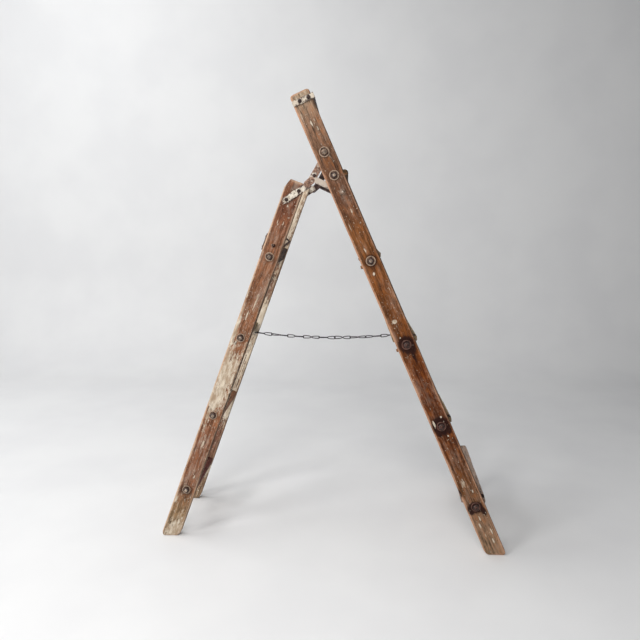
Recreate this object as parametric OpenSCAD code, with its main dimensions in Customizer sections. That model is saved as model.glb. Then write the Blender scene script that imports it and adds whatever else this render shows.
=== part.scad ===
// Folding stepped sawhorse: a tall leaning front frame with four treads and a shorter rear
// frame with four rungs, hinged near the top and held open by a check chain on one side.
// Millimetres. X runs from the rear frame to the front frame, Y across, Z up.
// The origin is on the floor, half way between the feet, in the middle of the width.

/* [Stance] */
// Distance between the two frames' rail centre lines at the floor
foot_spread = 1182; // [1120:2:1240]
// Lean of the front frame from upright, degrees
front_lean = 23.7; // [22.5:0.1:25]
// Lean of the rear frame from upright, degrees
rear_lean = 20.2; // [19.2:0.1:21]

/* [Front frame] */
// Length of each front rail, foot to top
front_len = 1715; // [1640:5:1900]
// Width over the front rails at the foot
front_foot_w = 538; // [500:2:640]
// Width over the front rails at their top
front_top_w = 444; // [420:2:540]
// Depth of a front rail, front edge to back edge
front_rail_w = 68; // [66:0.5:84]
// Thickness of a front rail
front_rail_t = 28; // [26:0.5:34]
// Thickness of a tread board
tread_t = 18; // [14:0.5:24]
// Turn of the replaced bottom tread seen from above, degrees
bottom_skew = 2.5; // [0:0.1:3]
// Rise of the bottom tread toward the far side, degrees
bottom_rise = 1.4; // [0:0.1:2]
// Diameter of the round cross bar at hinge height
round_bar_d = 24; // [20:0.5:27]

/* [Rear frame] */
// Length of each rear rail, foot to top
rear_len = 1380; // [1330:5:1400]
// Width over the rear rails at the foot
rear_foot_w = 352; // [320:2:360]
// Width over the rear rails at their top
rear_top_w = 280; // [264:2:300]
// Depth of a rear rail, front edge to back edge
rear_rail_w = 66; // [60:0.5:74]
// Thickness of a rear rail
rear_rail_t = 28; // [26:0.5:32]
// Height of the broad top rung along the rail
top_rung_h = 46; // [36:0.5:56]
// Height of the three plain rungs along the rail
rung_h = 28; // [22:0.5:34]

/* [Ironwork] */
// Diameter of the tie rods
rod_d = 10; // [8:0.5:11]
// Outside diameter of the round washers
washer_d = 34; // [28:0.5:38]
// Nut size across flats
nut_af = 17; // [15:0.5:19]
// Diameter of the hinge pins
pin_d = 12; // [10:0.5:14]
// Width of the hinge straps and bracket arms
strap_w = 24; // [20:0.5:28]

/* [Chain] */
// Wire thickness of the chain
wire_d = 3; // [2.4:0.1:3.4]
// Distance from knot to knot
link_pitch = 63.6; // [62.6:0.1:63.8]
// Drop of the chain at its middle
chain_sag = 17; // [8:1:24]

/* [Hidden] */

$fn = 48;
// Gap left between pieces that only lie against one another
gap = 0.2;
// Foot positions of the two frames
front_x = foot_spread / 2;
rear_x = -foot_spread / 2;
// Outward splay of each rail
front_splay = atan((front_foot_w - front_top_w) / 2 / front_len);
rear_splay = atan((rear_foot_w - rear_top_w) / 2 / rear_len);
// Heights along the front rails: four treads' rods, the cross bar rod and the bracket bolt
tread_pitch = 309;
tread_q = [for (i = [0:3]) 194 + tread_pitch * (3 - i) + [1, 2, 3, 0][i]];
bar_rod_q = 1428;
round_bar_v = front_rail_w / 2;
bracket_top_q = 1510;
bracket_low_q = 1368;
band_q = front_len - 26;
// How far each tread reaches behind and in front of its rod, top tread first
tread_back = [41, 45, 38, 47];
tread_front = [35, 38, 38, 37];
// Upward tilt of each tread's front edge, degrees
tread_tilt = [3, 4.5, 3, 1.5];
tread_lift = 8;
house = 14;
// Heights along the rear rails: rods of the four rungs, top rung first
rung_pitch = 303;
rung_q = [for (i = [0:3]) 193 + rung_pitch * (3 - i) + [1, -2, -2, 0][i]];
rung_in = 9;
// Hinge centre, given on the rear frame and carried into the other two frames of reference
hinge_v = 42;
hinge_q = rear_len + 1;
hinge_x = rear_x + hinge_v * cos(rear_lean) + hinge_q * sin(rear_lean);
hinge_z = hinge_q * cos(rear_lean) - hinge_v * sin(rear_lean);
hinge_fq = -(hinge_x - front_x) * sin(front_lean) + hinge_z * cos(front_lean);
hinge_fv = (hinge_x - front_x) * cos(front_lean) + hinge_z * sin(front_lean);
eye_len = 16;
boss_d = 22;
nut_h = 8;
washer_t = 3;
plate_t = 6;
strap_t = 5;
// Chain ends
eye_r = 6.5;
eye_sink = 15;
rear_eye_q = 774;
rear_eye_v = 19;
front_eye_q = 770;
front_eye_v = -14;
loop_w = 12;

// Half widths over the rails and between them, at a height along the frame
function front_out(q) = front_foot_w / 2 - q * tan(front_splay);
function front_in(q) = front_out(q) - front_rail_t / cos(front_splay);
function rear_out(q) = rear_foot_w / 2 - q * tan(rear_splay);
function rear_in(q) = rear_out(q) - rear_rail_t / cos(rear_splay);
// Frame plane coordinates (v across the rail, q along it) to the whole object's x and z
function front_pt(v, q) = [front_x + v * cos(front_lean) - q * sin(front_lean),
  v * sin(front_lean) + q * cos(front_lean)];
function rear_pt(v, q) = [rear_x + v * cos(rear_lean) + q * sin(rear_lean),
  q * cos(rear_lean) - v * sin(rear_lean)];

// Places a frame's own upright coordinates into its lean
module front_frame() { translate([front_x, 0, 0]) rotate([0, -front_lean, 0]) children(); }
module rear_frame() { translate([rear_x, 0, 0]) rotate([0, rear_lean, 0]) children(); }
// Near side is -1, far side is 1; the rail's outer face is y = 0 and its body is above that
module side(s) { mirror([0, s > 0 ? 1 : 0, 0]) children(); }
module front_side(s) {
  side(s) front_frame() translate([0, -front_foot_w / 2, 0]) rotate([-front_splay, 0, 0]) children();
}
module rear_side(s) {
  side(s) rear_frame() translate([0, -rear_foot_w / 2, 0]) rotate([-rear_splay, 0, 0]) children();
}
// Round bar along y through a frame plane point
module cross_hole(d, v, q, y0, y1) {
  translate([v, y0, q]) rotate([-90, 0, 0]) cylinder(d = d, h = y1 - y0);
}
// Round bore right through whichever rail is on that side
module side_bore(s, d, v, q, reach) {
  cross_hole(d, v, q, s > 0 ? 20 : -reach, s > 0 ? reach : -20);
}
// Plain box between two corners
module block(a, b) { translate(a) cube(b - a); }
// Flat bar outline with round ends between two points
module bar2d(a, b, w) {
  translate(a) circle(d = w);
  translate(b) circle(d = w);
  translate(a) rotate(atan2(b[1] - a[1], b[0] - a[0])) translate([0, -w / 2]) square([norm(b - a), w]);
}
// Hexagon nut or head lying along +y from y = 0
module hex_y(af, h, bore) {
  rotate([-90, 0, 0]) difference() {
    linear_extrude(h) circle(d = af / cos(30), $fn = 6);
    if (bore > 0) translate([0, 0, -1]) cylinder(d = bore, h = h + 2);
  }
}
// A rail: eased edges, worn front and back corners at the top
module rail(w, t, len, top_cut, back_cut) {
  ease = 2.5;
  intersection() {
    translate([0, 0, -60]) linear_extrude(len + 60) polygon([
      [-w / 2 + ease, 0], [w / 2 - ease, 0], [w / 2, ease], [w / 2, t - ease],
      [w / 2 - ease, t], [-w / 2 + ease, t], [-w / 2, t - ease], [-w / 2, ease]]);
    translate([0, t + 1, 0]) rotate([90, 0, 0]) linear_extrude(t + 2) polygon([
      [-w / 2 - 1, -60], [w / 2 + 1, -60], [w / 2 + 1, len - top_cut],
      [w / 2 + 1 - top_cut, len], [-w / 2 - 1 + top_cut, len], [-w / 2 - 1, len - back_cut]]);
  }
}
// Floor that trims a leaning foot flat, with its heel and toe worn round
module foot_trim(x, w) {
  a = w / 2 - 9;
  b = w / 2 - 2;
  translate([x, 400, 0]) rotate([90, 0, 0]) linear_extrude(800) polygon([
    [-150, -200], [-150, 150], [-b - 60, 120], [-b, 9], [-a, 0], [a, 0], [b, 9], [b + 60, 120],
    [150, 150], [150, -200]]);
}

/* Front frame */
module tread_board(i, extra) {
  p = front_pt(0, tread_q[i]);
  half = front_in(tread_q[i]) + house + extra;
  near = -front_in(tread_q[i]);
  translate([p[0], near, p[1]]) rotate(i == 3 ? [bottom_rise, 0, -bottom_skew] : [0, 0, 0])
    rotate([0, -tread_tilt[i], 0]) translate([0, -near, tread_lift]) {
      if (extra > 0)
        block([-tread_back[i] - 30, -half, -extra], [tread_front[i] + 30, half, tread_t + extra]);
      else
        translate([0, half, 0]) rotate([90, 0, 0]) linear_extrude(2 * half) polygon([
          [-tread_back[i] + 3, 0], [tread_front[i] - 3, 0], [tread_front[i], 3],
          [tread_front[i], tread_t - 4], [tread_front[i] - 4, tread_t],
          [-tread_back[i] + 4, tread_t], [-tread_back[i], tread_t - 4], [-tread_back[i], 3]]);
    }
}
module front_rail(s) {
  difference() {
    front_side(s) rail(front_rail_w, front_rail_t, front_len, 9, 11);
    foot_trim(front_x, front_rail_w / cos(front_lean));
    for (i = [0:3]) tread_board(i, 0.25);
    front_frame() {
      for (q = concat(tread_q, [bar_rod_q]))
        side_bore(s, rod_d + 0.6, 0, q, front_foot_w);
      side_bore(s, round_bar_d + 0.6, round_bar_v, bar_rod_q - 7, front_foot_w);
    }
    front_side(s) {
      cross_hole(10.4, 0, bracket_top_q, -1, front_rail_t + 1);
      cross_hole(8.4, 3, bracket_low_q, -1, front_rail_t + 1);
      for (v = [-9, 22]) cross_hole(6.4, v, band_q, -1, 20);
      for (q = [tread_q[0] - 8, tread_q[1] - 8])
        translate([-front_rail_w / 2 - 1, front_rail_t / 2, q]) rotate([0, 90, 0])
          cylinder(d = 12.4, h = 17);
    }
    if (s > 0) front_frame()
      cross_hole(4.4, front_eye_v + eye_r, front_eye_q, 20, front_in(front_eye_q) + eye_sink + 1);
  }
}
module front_rail_near() { color("tan") front_rail(-1); }
module front_rail_far() { color("tan") front_rail(1); }
module tread_top() { color("burlywood") tread_board(0, 0); }
module tread_upper() { color("burlywood") tread_board(1, 0); }
module tread_lower() { color("burlywood") tread_board(2, 0); }
module tread_bottom() { color("silver") tread_board(3, 0); }
module front_tie_rods() {
  color("dimgray") front_frame() for (q = concat(tread_q, [bar_rod_q])) {
    l = front_out(q) + washer_t + nut_h + 4;
    cross_hole(rod_d, 0, q, -l, l);
  }
}
// Round washer on a rail's outer face
module face_washer(v, q, d, bore) {
  translate([v, -gap - washer_t, q]) rotate([-90, 0, 0]) difference() {
    cylinder(d = d, h = washer_t);
    translate([0, 0, -1]) cylinder(d = bore, h = washer_t + 2);
  }
}
module front_washers() {
  color("dimgray") for (s = [-1, 1]) front_side(s) {
    for (q = concat(tread_q, [bar_rod_q])) face_washer(0, q / cos(front_splay), washer_d, rod_d + 2);
    face_washer(0, bracket_top_q, washer_d + 2, 12);
    face_washer(3, bracket_low_q, 20, 9);
  }
}
module front_nuts() {
  color("gray") for (s = [-1, 1]) side(s) front_frame() for (q = concat(tread_q, [bar_rod_q]))
    translate([0, -front_out(q) - washer_t - nut_h - 0.8, q]) hex_y(nut_af, nut_h, rod_d + 0.2);
}
module top_crossbar() {
  color("whitesmoke") difference() {
    union() {
      front_frame() block([front_rail_w / 2 + gap, -front_out(band_q) - 3, band_q - 11],
        [front_rail_w / 2 + 8, front_out(band_q) + 3, band_q + 11]);
      for (s = [-1, 1]) front_side(s) block([-front_rail_w / 2 - 1, -gap - strap_t, band_q - 10],
        [front_rail_w / 2 + 8, -gap, band_q + 10]);
    }
    for (s = [-1, 1], v = [-9, 22]) front_side(s) cross_hole(6.4, v, band_q, -10, 1);
  }
}
// Round-headed screw driven along +y from the face at y = 0
module round_screw(v, q, shank, len, head, h) {
  translate([v, 0, q]) rotate([-90, 0, 0]) {
    translate([0, 0, -h]) cylinder(d = head, h = h);
    translate([0, 0, -0.5]) cylinder(d = shank, h = len);
  }
}
module top_crossbar_screws() {
  color("black") for (s = [-1, 1], v = [-9, 22]) front_side(s) translate([0, -gap * 2 - strap_t, 0])
    round_screw(v, band_q, 6.2, 23, 14, 4);
}
module round_crossbar() {
  l = front_out(bar_rod_q);
  color("saddlebrown") front_frame() cross_hole(round_bar_d, round_bar_v, bar_rod_q - 7, -l, l);
}
module hinge_bracket(s) {
  brace_v = hinge_fv + 22;
  difference() {
    union() {
      front_side(s) translate([0, front_rail_t + gap + plate_t, 0]) rotate([90, 0, 0])
        linear_extrude(plate_t) {
          bar2d([hinge_fv, hinge_fq], [hinge_fv + 18, hinge_fq + 6], strap_w);
          bar2d([hinge_fv + 18, hinge_fq + 6], [5, bracket_top_q], strap_w - 6);
          bar2d([brace_v, hinge_fq + 12], [3, bracket_low_q], strap_w - 4);
        }
      side(s) front_frame() cross_hole(boss_d, hinge_fv, hinge_fq, -front_in(hinge_fq) + gap + 2.5,
        -rear_out(hinge_q) - eye_len - 0.5);
    }
    side(s) front_frame() cross_hole(pin_d + 0.1, hinge_fv, hinge_fq, -300, 0);
    front_side(s) {
      cross_hole(10.4, 0, bracket_top_q, 0, 60);
      cross_hole(8.4, 3, bracket_low_q, 0, 60);
    }
  }
}
module hinge_bracket_near() { color("gainsboro") hinge_bracket(-1); }
module hinge_bracket_far() { color("gray") hinge_bracket(1); }
// Bolt through rail and bracket: round head inside, nut outside
module bracket_bolt(v, q, d) {
  translate([v, 0, q]) rotate([-90, 0, 0]) {
    translate([0, 0, -15]) cylinder(d = d, h = front_rail_t + plate_t + 15.6);
    translate([0, 0, front_rail_t + plate_t + 2 * gap]) cylinder(d = d * 2, h = 6);
  }
}
module bracket_bolts() {
  color("dimgray") for (s = [-1, 1]) front_side(s) {
    bracket_bolt(0, bracket_top_q, 10);
    bracket_bolt(3, bracket_low_q, 8);
  }
}
module bracket_bolt_nuts() {
  color("gray") for (s = [-1, 1]) front_side(s) {
    translate([0, -washer_t - 2 * gap - 8, bracket_top_q]) hex_y(nut_af, 8, 10.2);
    translate([3, -washer_t - 2 * gap - 6.5, bracket_low_q]) hex_y(13, 6.5, 8.2);
  }
}
module hinge_pins() {
  color("silver") for (s = [-1, 1]) side(s) front_frame()
    cross_hole(pin_d, hinge_fv, hinge_fq, -front_in(hinge_fq) + 1, -rear_out(hinge_q) - 0.6);
}
module edge_pegs() {
  color("peru") for (s = [-1, 1]) front_side(s) for (q = [tread_q[0] - 8, tread_q[1] - 8])
    translate([-front_rail_w / 2 - 6, front_rail_t / 2, q]) rotate([0, 90, 0]) cylinder(d = 12, h = 21);
}
module front_chain_eye() {
  color("dimgray") translate(front_eye_p) rotate([0, -front_lean, 0]) eye_body(eye_r);
}
module rear_chain_eye() {
  color("dimgray") translate(rear_eye_p) rotate([0, rear_lean, 0]) eye_body(-eye_r);
}
// Ring standing in the plane of the rail's side, its shank driven in at the edge away from the chain
module eye_body(shank_x) {
  rotate([90, 0, 0]) rotate_extrude() translate([eye_r, 0]) circle(d = wire_d, $fn = 24);
  translate([shank_x, -1, 0]) rotate([-90, 0, 0]) cylinder(d = 4, h = eye_r + 4 + eye_sink);
}

/* Rear frame */
module rung_box(i, extra) {
  h = i == 0 ? top_rung_h : rung_h;
  half = rear_in(rung_q[i]) + rung_in + extra;
  lift = [5, 3, 5, -3][i];
  block([-27 - extra, -half, rung_q[i] + lift - h / 2 - extra],
    [31 + extra, half, rung_q[i] + lift + h / 2 + extra]);
}
module rear_rail(s) {
  difference() {
    rear_side(s) difference() {
      rail(rear_rail_w, rear_rail_t, rear_len, 3, 3);
      translate([-rear_rail_w / 2, -1, rear_len - 34]) rotate([0, 20, 0]) translate([-40, 0, 0])
        cube([40, rear_rail_t + 2, 60]);
    }
    foot_trim(rear_x, rear_rail_w / cos(rear_lean));
    rear_frame() for (i = [0:3]) {
      rung_box(i, 0.25);
      side_bore(s, rod_d + 0.6, 0, rung_q[i], rear_foot_w);
    }
    rear_side(s) {
      for (p = strap_holes) cross_hole(8.4, p[0], p[1], -1, 18);
      for (q = plate_holes) translate([-rear_rail_w / 2 - 1, rear_rail_t / 2, q]) rotate([0, 90, 0])
        cylinder(d = 5.4, h = 18);
      cross_hole(4.4, -4, rung_q[0] + 42, -1, rear_rail_t + 1);
    }
    if (s > 0) rear_frame()
      cross_hole(4.4, rear_eye_v - eye_r, rear_eye_q, 20, rear_in(rear_eye_q) + eye_sink + 1);
  }
}
// A rung with the bore its rod runs through
module rung(i) {
  color("peru") rear_frame() difference() {
    rung_box(i, 0);
    cross_hole(rod_d + 0.6, 0, rung_q[i], -rear_foot_w, rear_foot_w);
  }
}
module rear_rail_near() { color("sienna") rear_rail(-1); }
module rear_rail_far() { color("wheat") rear_rail(1); }
module rung_top() { rung(0); }
module rung_upper() { rung(1); }
module rung_lower() { rung(2); }
module rung_bottom() { rung(3); }
module rear_tie_rods() {
  color("dimgray") rear_frame() for (q = rung_q) {
    l = rear_out(q) + washer_t + nut_h + 4;
    cross_hole(rod_d, 0, q, -l, l);
  }
}
module rear_washers() {
  color("dimgray") for (s = [-1, 1]) rear_side(s) for (q = rung_q)
    face_washer(0, q / cos(rear_splay), washer_d - 2, rod_d + 2);
}
module rear_nuts() {
  color("gray") for (s = [-1, 1]) side(s) rear_frame() for (q = rung_q)
    translate([0, -rear_out(q) - washer_t - nut_h - 0.8, q]) hex_y(nut_af, nut_h, rod_d + 0.2);
}
// Strap bolts, counted back from the hinge along the strap's slope
strap_angle = 234;
strap_holes = [for (d = [38, 90]) [hinge_v + d * cos(strap_angle), hinge_q + d * sin(strap_angle)]];
module hinge_strap(s) {
  tail = [hinge_v + 94 * cos(strap_angle), hinge_q + 94 * sin(strap_angle)];
  difference() {
    union() {
      rear_side(s) translate([0, -gap, 0]) rotate([90, 0, 0]) linear_extrude(strap_t)
        bar2d([hinge_v, hinge_q], tail, strap_w);
      side(s) rear_frame() cross_hole(boss_d, hinge_v, hinge_q, -rear_out(hinge_q) - eye_len,
        -rear_out(hinge_q) - 2.5);
    }
    side(s) rear_frame() cross_hole(pin_d + 0.16, hinge_v, hinge_q, -300, 0);
    rear_side(s) for (p = strap_holes) cross_hole(8.4, p[0], p[1], -10, 1);
  }
}
module hinge_strap_near() { color("whitesmoke") hinge_strap(-1); }
module hinge_strap_far() { color("lightgray") hinge_strap(1); }
module strap_bolts() {
  color("dimgray") for (s = [-1, 1]) rear_side(s) for (p = strap_holes)
    translate([0, -strap_t - 2 * gap, 0]) round_screw(p[0], p[1], 8.2, 22, 14, 4);
}
// Thin bent irons on the rails' inner faces above the broad rung, each held by one through pin
module rung_stays() {
  apex = [rear_rail_w / 2 - 4, rung_q[0] + 59];
  heel = [13, rung_q[0] + top_rung_h / 2 + 12];
  back = [-4, rung_q[0] + 42];
  head = [-4, rung_q[0] + 72];
  color("dimgray") for (s = [-1, 1]) rear_side(s) {
    translate([0, rear_rail_t + gap + 4, 0]) rotate([90, 0, 0]) linear_extrude(4) {
      bar2d(apex, head, 7);
      bar2d(apex, heel, 7);
      bar2d(heel, back, 7);
      bar2d(back, head, 8);
    }
    cross_hole(4.2, back[0], back[1], -3, rear_rail_t + 1);
    cross_hole(9, back[0], back[1], -4, -gap);
  }
}
plate_holes = [for (d = [26, 62]) rung_q[0] + d];
module edge_plates() {
  color("dimgray") for (s = [-1, 1]) rear_side(s) difference() {
    block([-rear_rail_w / 2 - gap - 3.5, rear_rail_t / 2 - 10, rung_q[0] + 14],
      [-rear_rail_w / 2 - gap, rear_rail_t / 2 + 10, rung_q[0] + 74]);
    for (q = plate_holes) translate([-rear_rail_w, rear_rail_t / 2, q]) rotate([0, 90, 0])
      cylinder(d = 5.4, h = 60);
  }
}
module edge_plate_screws() {
  color("gray") for (s = [-1, 1], q = plate_holes) rear_side(s)
    translate([-rear_rail_w / 2 - 3.5 - 2 * gap, rear_rail_t / 2, q]) rotate([0, 90, 0]) {
      translate([0, 0, -2.5]) cylinder(d = 10, h = 2.5);
      translate([0, 0, -0.5]) cylinder(d = 5.2, h = 18);
    }
}

/* Chain */
rear_eye_p = [rear_pt(rear_eye_v, rear_eye_q)[0],
  rear_in(rear_eye_q) - eye_r - 3, rear_pt(rear_eye_v, rear_eye_q)[1]];
front_eye_p = [front_pt(front_eye_v, front_eye_q)[0],
  front_in(front_eye_q) - eye_r - 3, front_pt(front_eye_v, front_eye_q)[1]];
chain_span = norm(front_eye_p - rear_eye_p);
link_n = 9;
// Reach of a loop from its knot, of an end loop to just short of the eye's centre, and how far
// the two loops at the open middle joint stand aside to lie flat against one another
tip = link_pitch / 2 + wire_d * 0.6;
end_tip = norm(chain_pt(knot_share(0)) - rear_eye_p) - wire_d / 2;
aside = wire_d * 0.73;
// Share of the way along the chain of each knot, the row centred between the eyes
function knot_share(i) = 0.5 + (i - (link_n - 1) / 2) * link_pitch / chain_span;
function chain_pt(u) = rear_eye_p + (front_eye_p - rear_eye_p) * u
  - [0, 0, chain_sag * 4 * u * (1 - u)];
chain_turn = atan2(front_eye_p[1] - rear_eye_p[1], front_eye_p[0] - rear_eye_p[0]);
// Roll of the loop on either side of each knot
roll_rear = [90, 70, 0, 0, 90, 0, 70, -35, 0];
roll_front = [0, 90, 90, 20, 0, 0, 125, 90, 90];
// One closed wire loop from the knot at x = 0 out to the tip
module wire_loop(reach) {
  r = loop_w / 2 - wire_d / 2;
  x0 = r + 3;
  x1 = reach - r;
  for (y = [-r, r]) translate([x0, y, 0]) rotate([0, 90, 0]) cylinder(d = wire_d, h = x1 - x0, $fn = 20);
  translate([x1, 0, 0]) rotate([0, 0, -90]) rotate_extrude(angle = 180) translate([r, 0])
    circle(d = wire_d, $fn = 20);
  translate([x0, 0, 0]) rotate([0, 0, 90]) rotate_extrude(angle = 180) translate([r, 0])
    circle(d = wire_d, $fn = 20);
}
module chain_link(i) {
  p = chain_pt(knot_share(i));
  e = chain_pt(knot_share(i) + 0.01) - chain_pt(knot_share(i) - 0.01);
  slope = atan2(e[2], norm([e[0], e[1]]));
  translate(p) rotate([0, 0, chain_turn]) rotate([0, -slope, 0]) {
    translate([0, i == 4 ? -aside : 0, 0]) rotate([roll_front[i] + 90, 0, 0])
      wire_loop(i == link_n - 1 ? end_tip : tip);
    rotate([0, 0, 180]) translate([0, i == 5 ? -aside : 0, 0]) rotate([roll_rear[i] + 90, 0, 0])
      wire_loop(i == 0 ? end_tip : tip);
    translate([-4.5, 0, 0]) rotate([0, 90, 0]) cylinder(d = wire_d * 2, h = 9);
  }
}
module chain_rear_half() { color("slategray") for (i = [0:4]) chain_link(i); }
module chain_front_half() { color("slategray") for (i = [5:8]) chain_link(i); }

front_rail_near();
front_rail_far();
tread_top();
tread_upper();
tread_lower();
tread_bottom();
front_tie_rods();
front_washers();
front_nuts();
top_crossbar();
top_crossbar_screws();
round_crossbar();
hinge_bracket_near();
hinge_bracket_far();
bracket_bolts();
bracket_bolt_nuts();
hinge_pins();
edge_pegs();
front_chain_eye();
rear_rail_near();
rear_rail_far();
rung_top();
rung_upper();
rung_lower();
rung_bottom();
rear_tie_rods();
rear_washers();
rear_nuts();
hinge_strap_near();
hinge_strap_far();
strap_bolts();
rung_stays();
edge_plates();
edge_plate_screws();
rear_chain_eye();
chain_rear_half();
chain_front_half();
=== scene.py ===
import itertools
import logging
import math
from dataclasses import dataclass, field
from enum import Enum
from typing import Iterable, Sequence

import bpy
import numpy as np
from mathutils import Matrix, Vector


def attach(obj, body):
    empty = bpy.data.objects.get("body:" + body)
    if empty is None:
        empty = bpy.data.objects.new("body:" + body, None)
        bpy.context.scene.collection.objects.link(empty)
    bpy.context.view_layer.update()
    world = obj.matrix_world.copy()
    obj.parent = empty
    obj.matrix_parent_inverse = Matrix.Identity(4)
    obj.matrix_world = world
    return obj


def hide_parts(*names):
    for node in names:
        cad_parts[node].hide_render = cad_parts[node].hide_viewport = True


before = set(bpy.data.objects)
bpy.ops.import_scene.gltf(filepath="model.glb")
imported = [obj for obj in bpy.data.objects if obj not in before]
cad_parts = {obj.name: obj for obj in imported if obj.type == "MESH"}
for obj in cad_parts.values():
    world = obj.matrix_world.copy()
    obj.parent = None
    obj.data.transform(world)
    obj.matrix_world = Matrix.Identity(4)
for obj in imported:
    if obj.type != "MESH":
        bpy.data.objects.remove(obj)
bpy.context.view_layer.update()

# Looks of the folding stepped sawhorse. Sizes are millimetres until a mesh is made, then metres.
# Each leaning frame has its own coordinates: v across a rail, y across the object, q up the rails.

log = logging.getLogger("sawhorse")
RGB = tuple[float, float, float]
Stops = tuple[tuple[float, RGB], ...]
Socket = bpy.types.NodeSocket
Value = bpy.types.NodeSocket | float
METRE = 0.001
# Y_AXIS turns a shape made along z to lie along y. LAID does so and keeps its width across x; ON_EDGE
# does so and stands its width up z.
Y_AXIS = Matrix.Rotation(math.radians(-90), 4, "X")
LAID = Matrix(((1, 0, 0, 0), (0, 0, 1, 0), (0, 1, 0, 0), (0, 0, 0, 1)))
ON_EDGE = Matrix(((0, 1, 0, 0), (0, 0, 1, 0), (1, 0, 0, 0), (0, 0, 0, 1)))


class Side(Enum):
    """The two sides of the object, seen from the front of the room."""

    NEAR = -1
    FAR = 1

    @property
    def label(self) -> str:
        """The side's name as pieces carry it."""
        return self.name.lower()


class Body(Enum):
    """The moving bodies that pieces ride on."""

    FRONT = "front_frame"
    REAR = "rear_frame"
    CHAIN_REAR = "chain_rear"
    CHAIN_FRONT = "chain_front"


class Slot(Enum):
    """The record's material slots."""

    FRONT_WOOD = "front_wood"
    TREAD_WOOD = "tread_wood"
    GREY_WOOD = "grey_wood"
    REAR_WOOD = "rear_wood"
    FAR_WOOD = "far_wood"
    BAR_WOOD = "bar_wood"
    RUSTY_IRON = "rusty_iron"
    DARK_IRON = "dark_iron"
    PAINTED_IRON = "painted_iron"
    PIN_STEEL = "pin_steel"
    CHAIN_IRON = "chain_iron"


class Channel(Enum):
    """Painted masks kept on a mesh for its finish to read."""

    EDGE = "edge"
    RUST = "rust"
    PAINT = "paint"
    # Dark dirt, and painted shade laid along the shaded edges of the rails.
    GRIME = "grime"


# ---------------------------------------------------------------- noise and meshes


@dataclass(frozen=True)
class Grit:
    """Repeatable smooth noise over points.

    Args:
        seed: Number that picks the pattern.
    """

    seed: int
    primes: tuple[int, int, int] = (374761393, 668265263, 1440662683)
    mixer: int = 1274126177

    def _lattice(self, cell: np.ndarray) -> np.ndarray:
        """Scrambles whole-numbered cells.

        Args:
            cell: Rows of whole numbers.

        Returns:
            A fixed value from -1 to 1 for each row.
        """
        h = (cell * np.array(self.primes)).sum(1) + self.seed * self.mixer
        h = (h ^ (h >> 13)) * self.mixer & 0xFFFFFFFF
        return ((h ^ (h >> 16)) & 0xFFFF) / 32767.5 - 1.0

    def at(self, points: np.ndarray, period: Sequence[float]) -> np.ndarray:
        """Returns noise from -1 to 1 at the points.

        Args:
            points: Rows of x, y, z.
            period: Distance between unlike values along each axis.

        Returns:
            One value per row.
        """
        p = points / np.asarray(period, float)
        cell = np.floor(p).astype(np.int64)
        f = p - cell
        f = f * f * (3 - 2 * f)
        total = np.zeros(len(p))
        for corner in itertools.product((0, 1), repeat=3):
            near = np.abs(1 - np.array(corner) - f)
            total += near[:, 0] * near[:, 1] * near[:, 2] * self._lattice(cell + np.array(corner))
        return total


@dataclass
class Shell:
    """Closed surface with its masks, in millimetres.

    Args:
        points: Rows of x, y, z.
        faces: Corner numbers of each face, outward.
        grain: Rows of position across, through and along the piece.
        masks: One value per point for each channel that is used.
    """

    points: np.ndarray
    faces: list[tuple[int, ...]]
    grain: np.ndarray | None = None
    masks: dict[Channel, np.ndarray] = field(default_factory=dict)

    def placed(self, matrix: Matrix) -> "Shell":
        """Returns the shell moved by a matrix, turned outward again if it is mirrored.

        Args:
            matrix: The move.

        Returns:
            The moved shell, which keeps its grain and masks.
        """
        m = np.array(matrix)
        moved = self.points @ m[:3, :3].T + m[:3, 3]
        faces = self.faces
        if np.linalg.det(m[:3, :3]) < 0:
            faces = [tuple(reversed(f)) for f in faces]
        grain = self.points.copy() if self.grain is None else self.grain
        return Shell(moved, faces, grain, dict(self.masks))

    @staticmethod
    def joined(shells: Iterable["Shell"]) -> "Shell":
        """Returns several shells as one.

        Args:
            shells: The shells.

        Returns:
            One shell with all their masks.
        """
        shells = list(shells)
        faces, start = [], 0
        for s in shells:
            faces += [tuple(i + start for i in f) for f in s.faces]
            start += len(s.points)
        masks = {
            c: np.concatenate([s.masks.get(c, np.zeros(len(s.points))) for s in shells])
            for c in {c for s in shells for c in s.masks}
        }
        grain = np.concatenate([s.points if s.grain is None else s.grain for s in shells])
        return Shell(np.concatenate([s.points for s in shells]), faces, grain, masks)

    def mesh(self, name: str, material: bpy.types.Material) -> bpy.types.Mesh:
        """Returns a smooth-shaded mesh in metres that carries the grain and the masks.

        Args:
            name: Name of the mesh.
            material: Its finish.

        Returns:
            The mesh.
        """
        mesh = bpy.data.meshes.new(name)
        mesh.from_pydata((self.points * METRE).tolist(), [], self.faces)
        mesh.materials.append(material)
        mesh.polygons.foreach_set("use_smooth", [True] * len(mesh.polygons))
        grain = (self.points if self.grain is None else self.grain) * METRE
        mesh.attributes.new("grain", "FLOAT_VECTOR", "POINT").data.foreach_set(
            "vector", grain.astype(np.float32).ravel()
        )
        for channel in Channel:
            values = self.masks.get(channel, np.zeros(len(self.points)))
            mesh.attributes.new(channel.value, "FLOAT", "POINT").data.foreach_set(
                "value", values.astype(np.float32)
            )
        mesh.update()
        return mesh


def add_piece(
    name: str, shell: Shell, material: bpy.types.Material, body: Body, node: str
) -> bpy.types.Object:
    """Adds a finished piece that stands for a CAD node and rides on its body.

    Args:
        name: Name of the piece.
        shell: Its surface.
        material: Its finish.
        body: The body it moves with.
        node: CAD node that it stands for.

    Returns:
        The new object.
    """
    return settle(bpy.data.objects.new(name, shell.mesh(name, material)), body, node)


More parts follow.
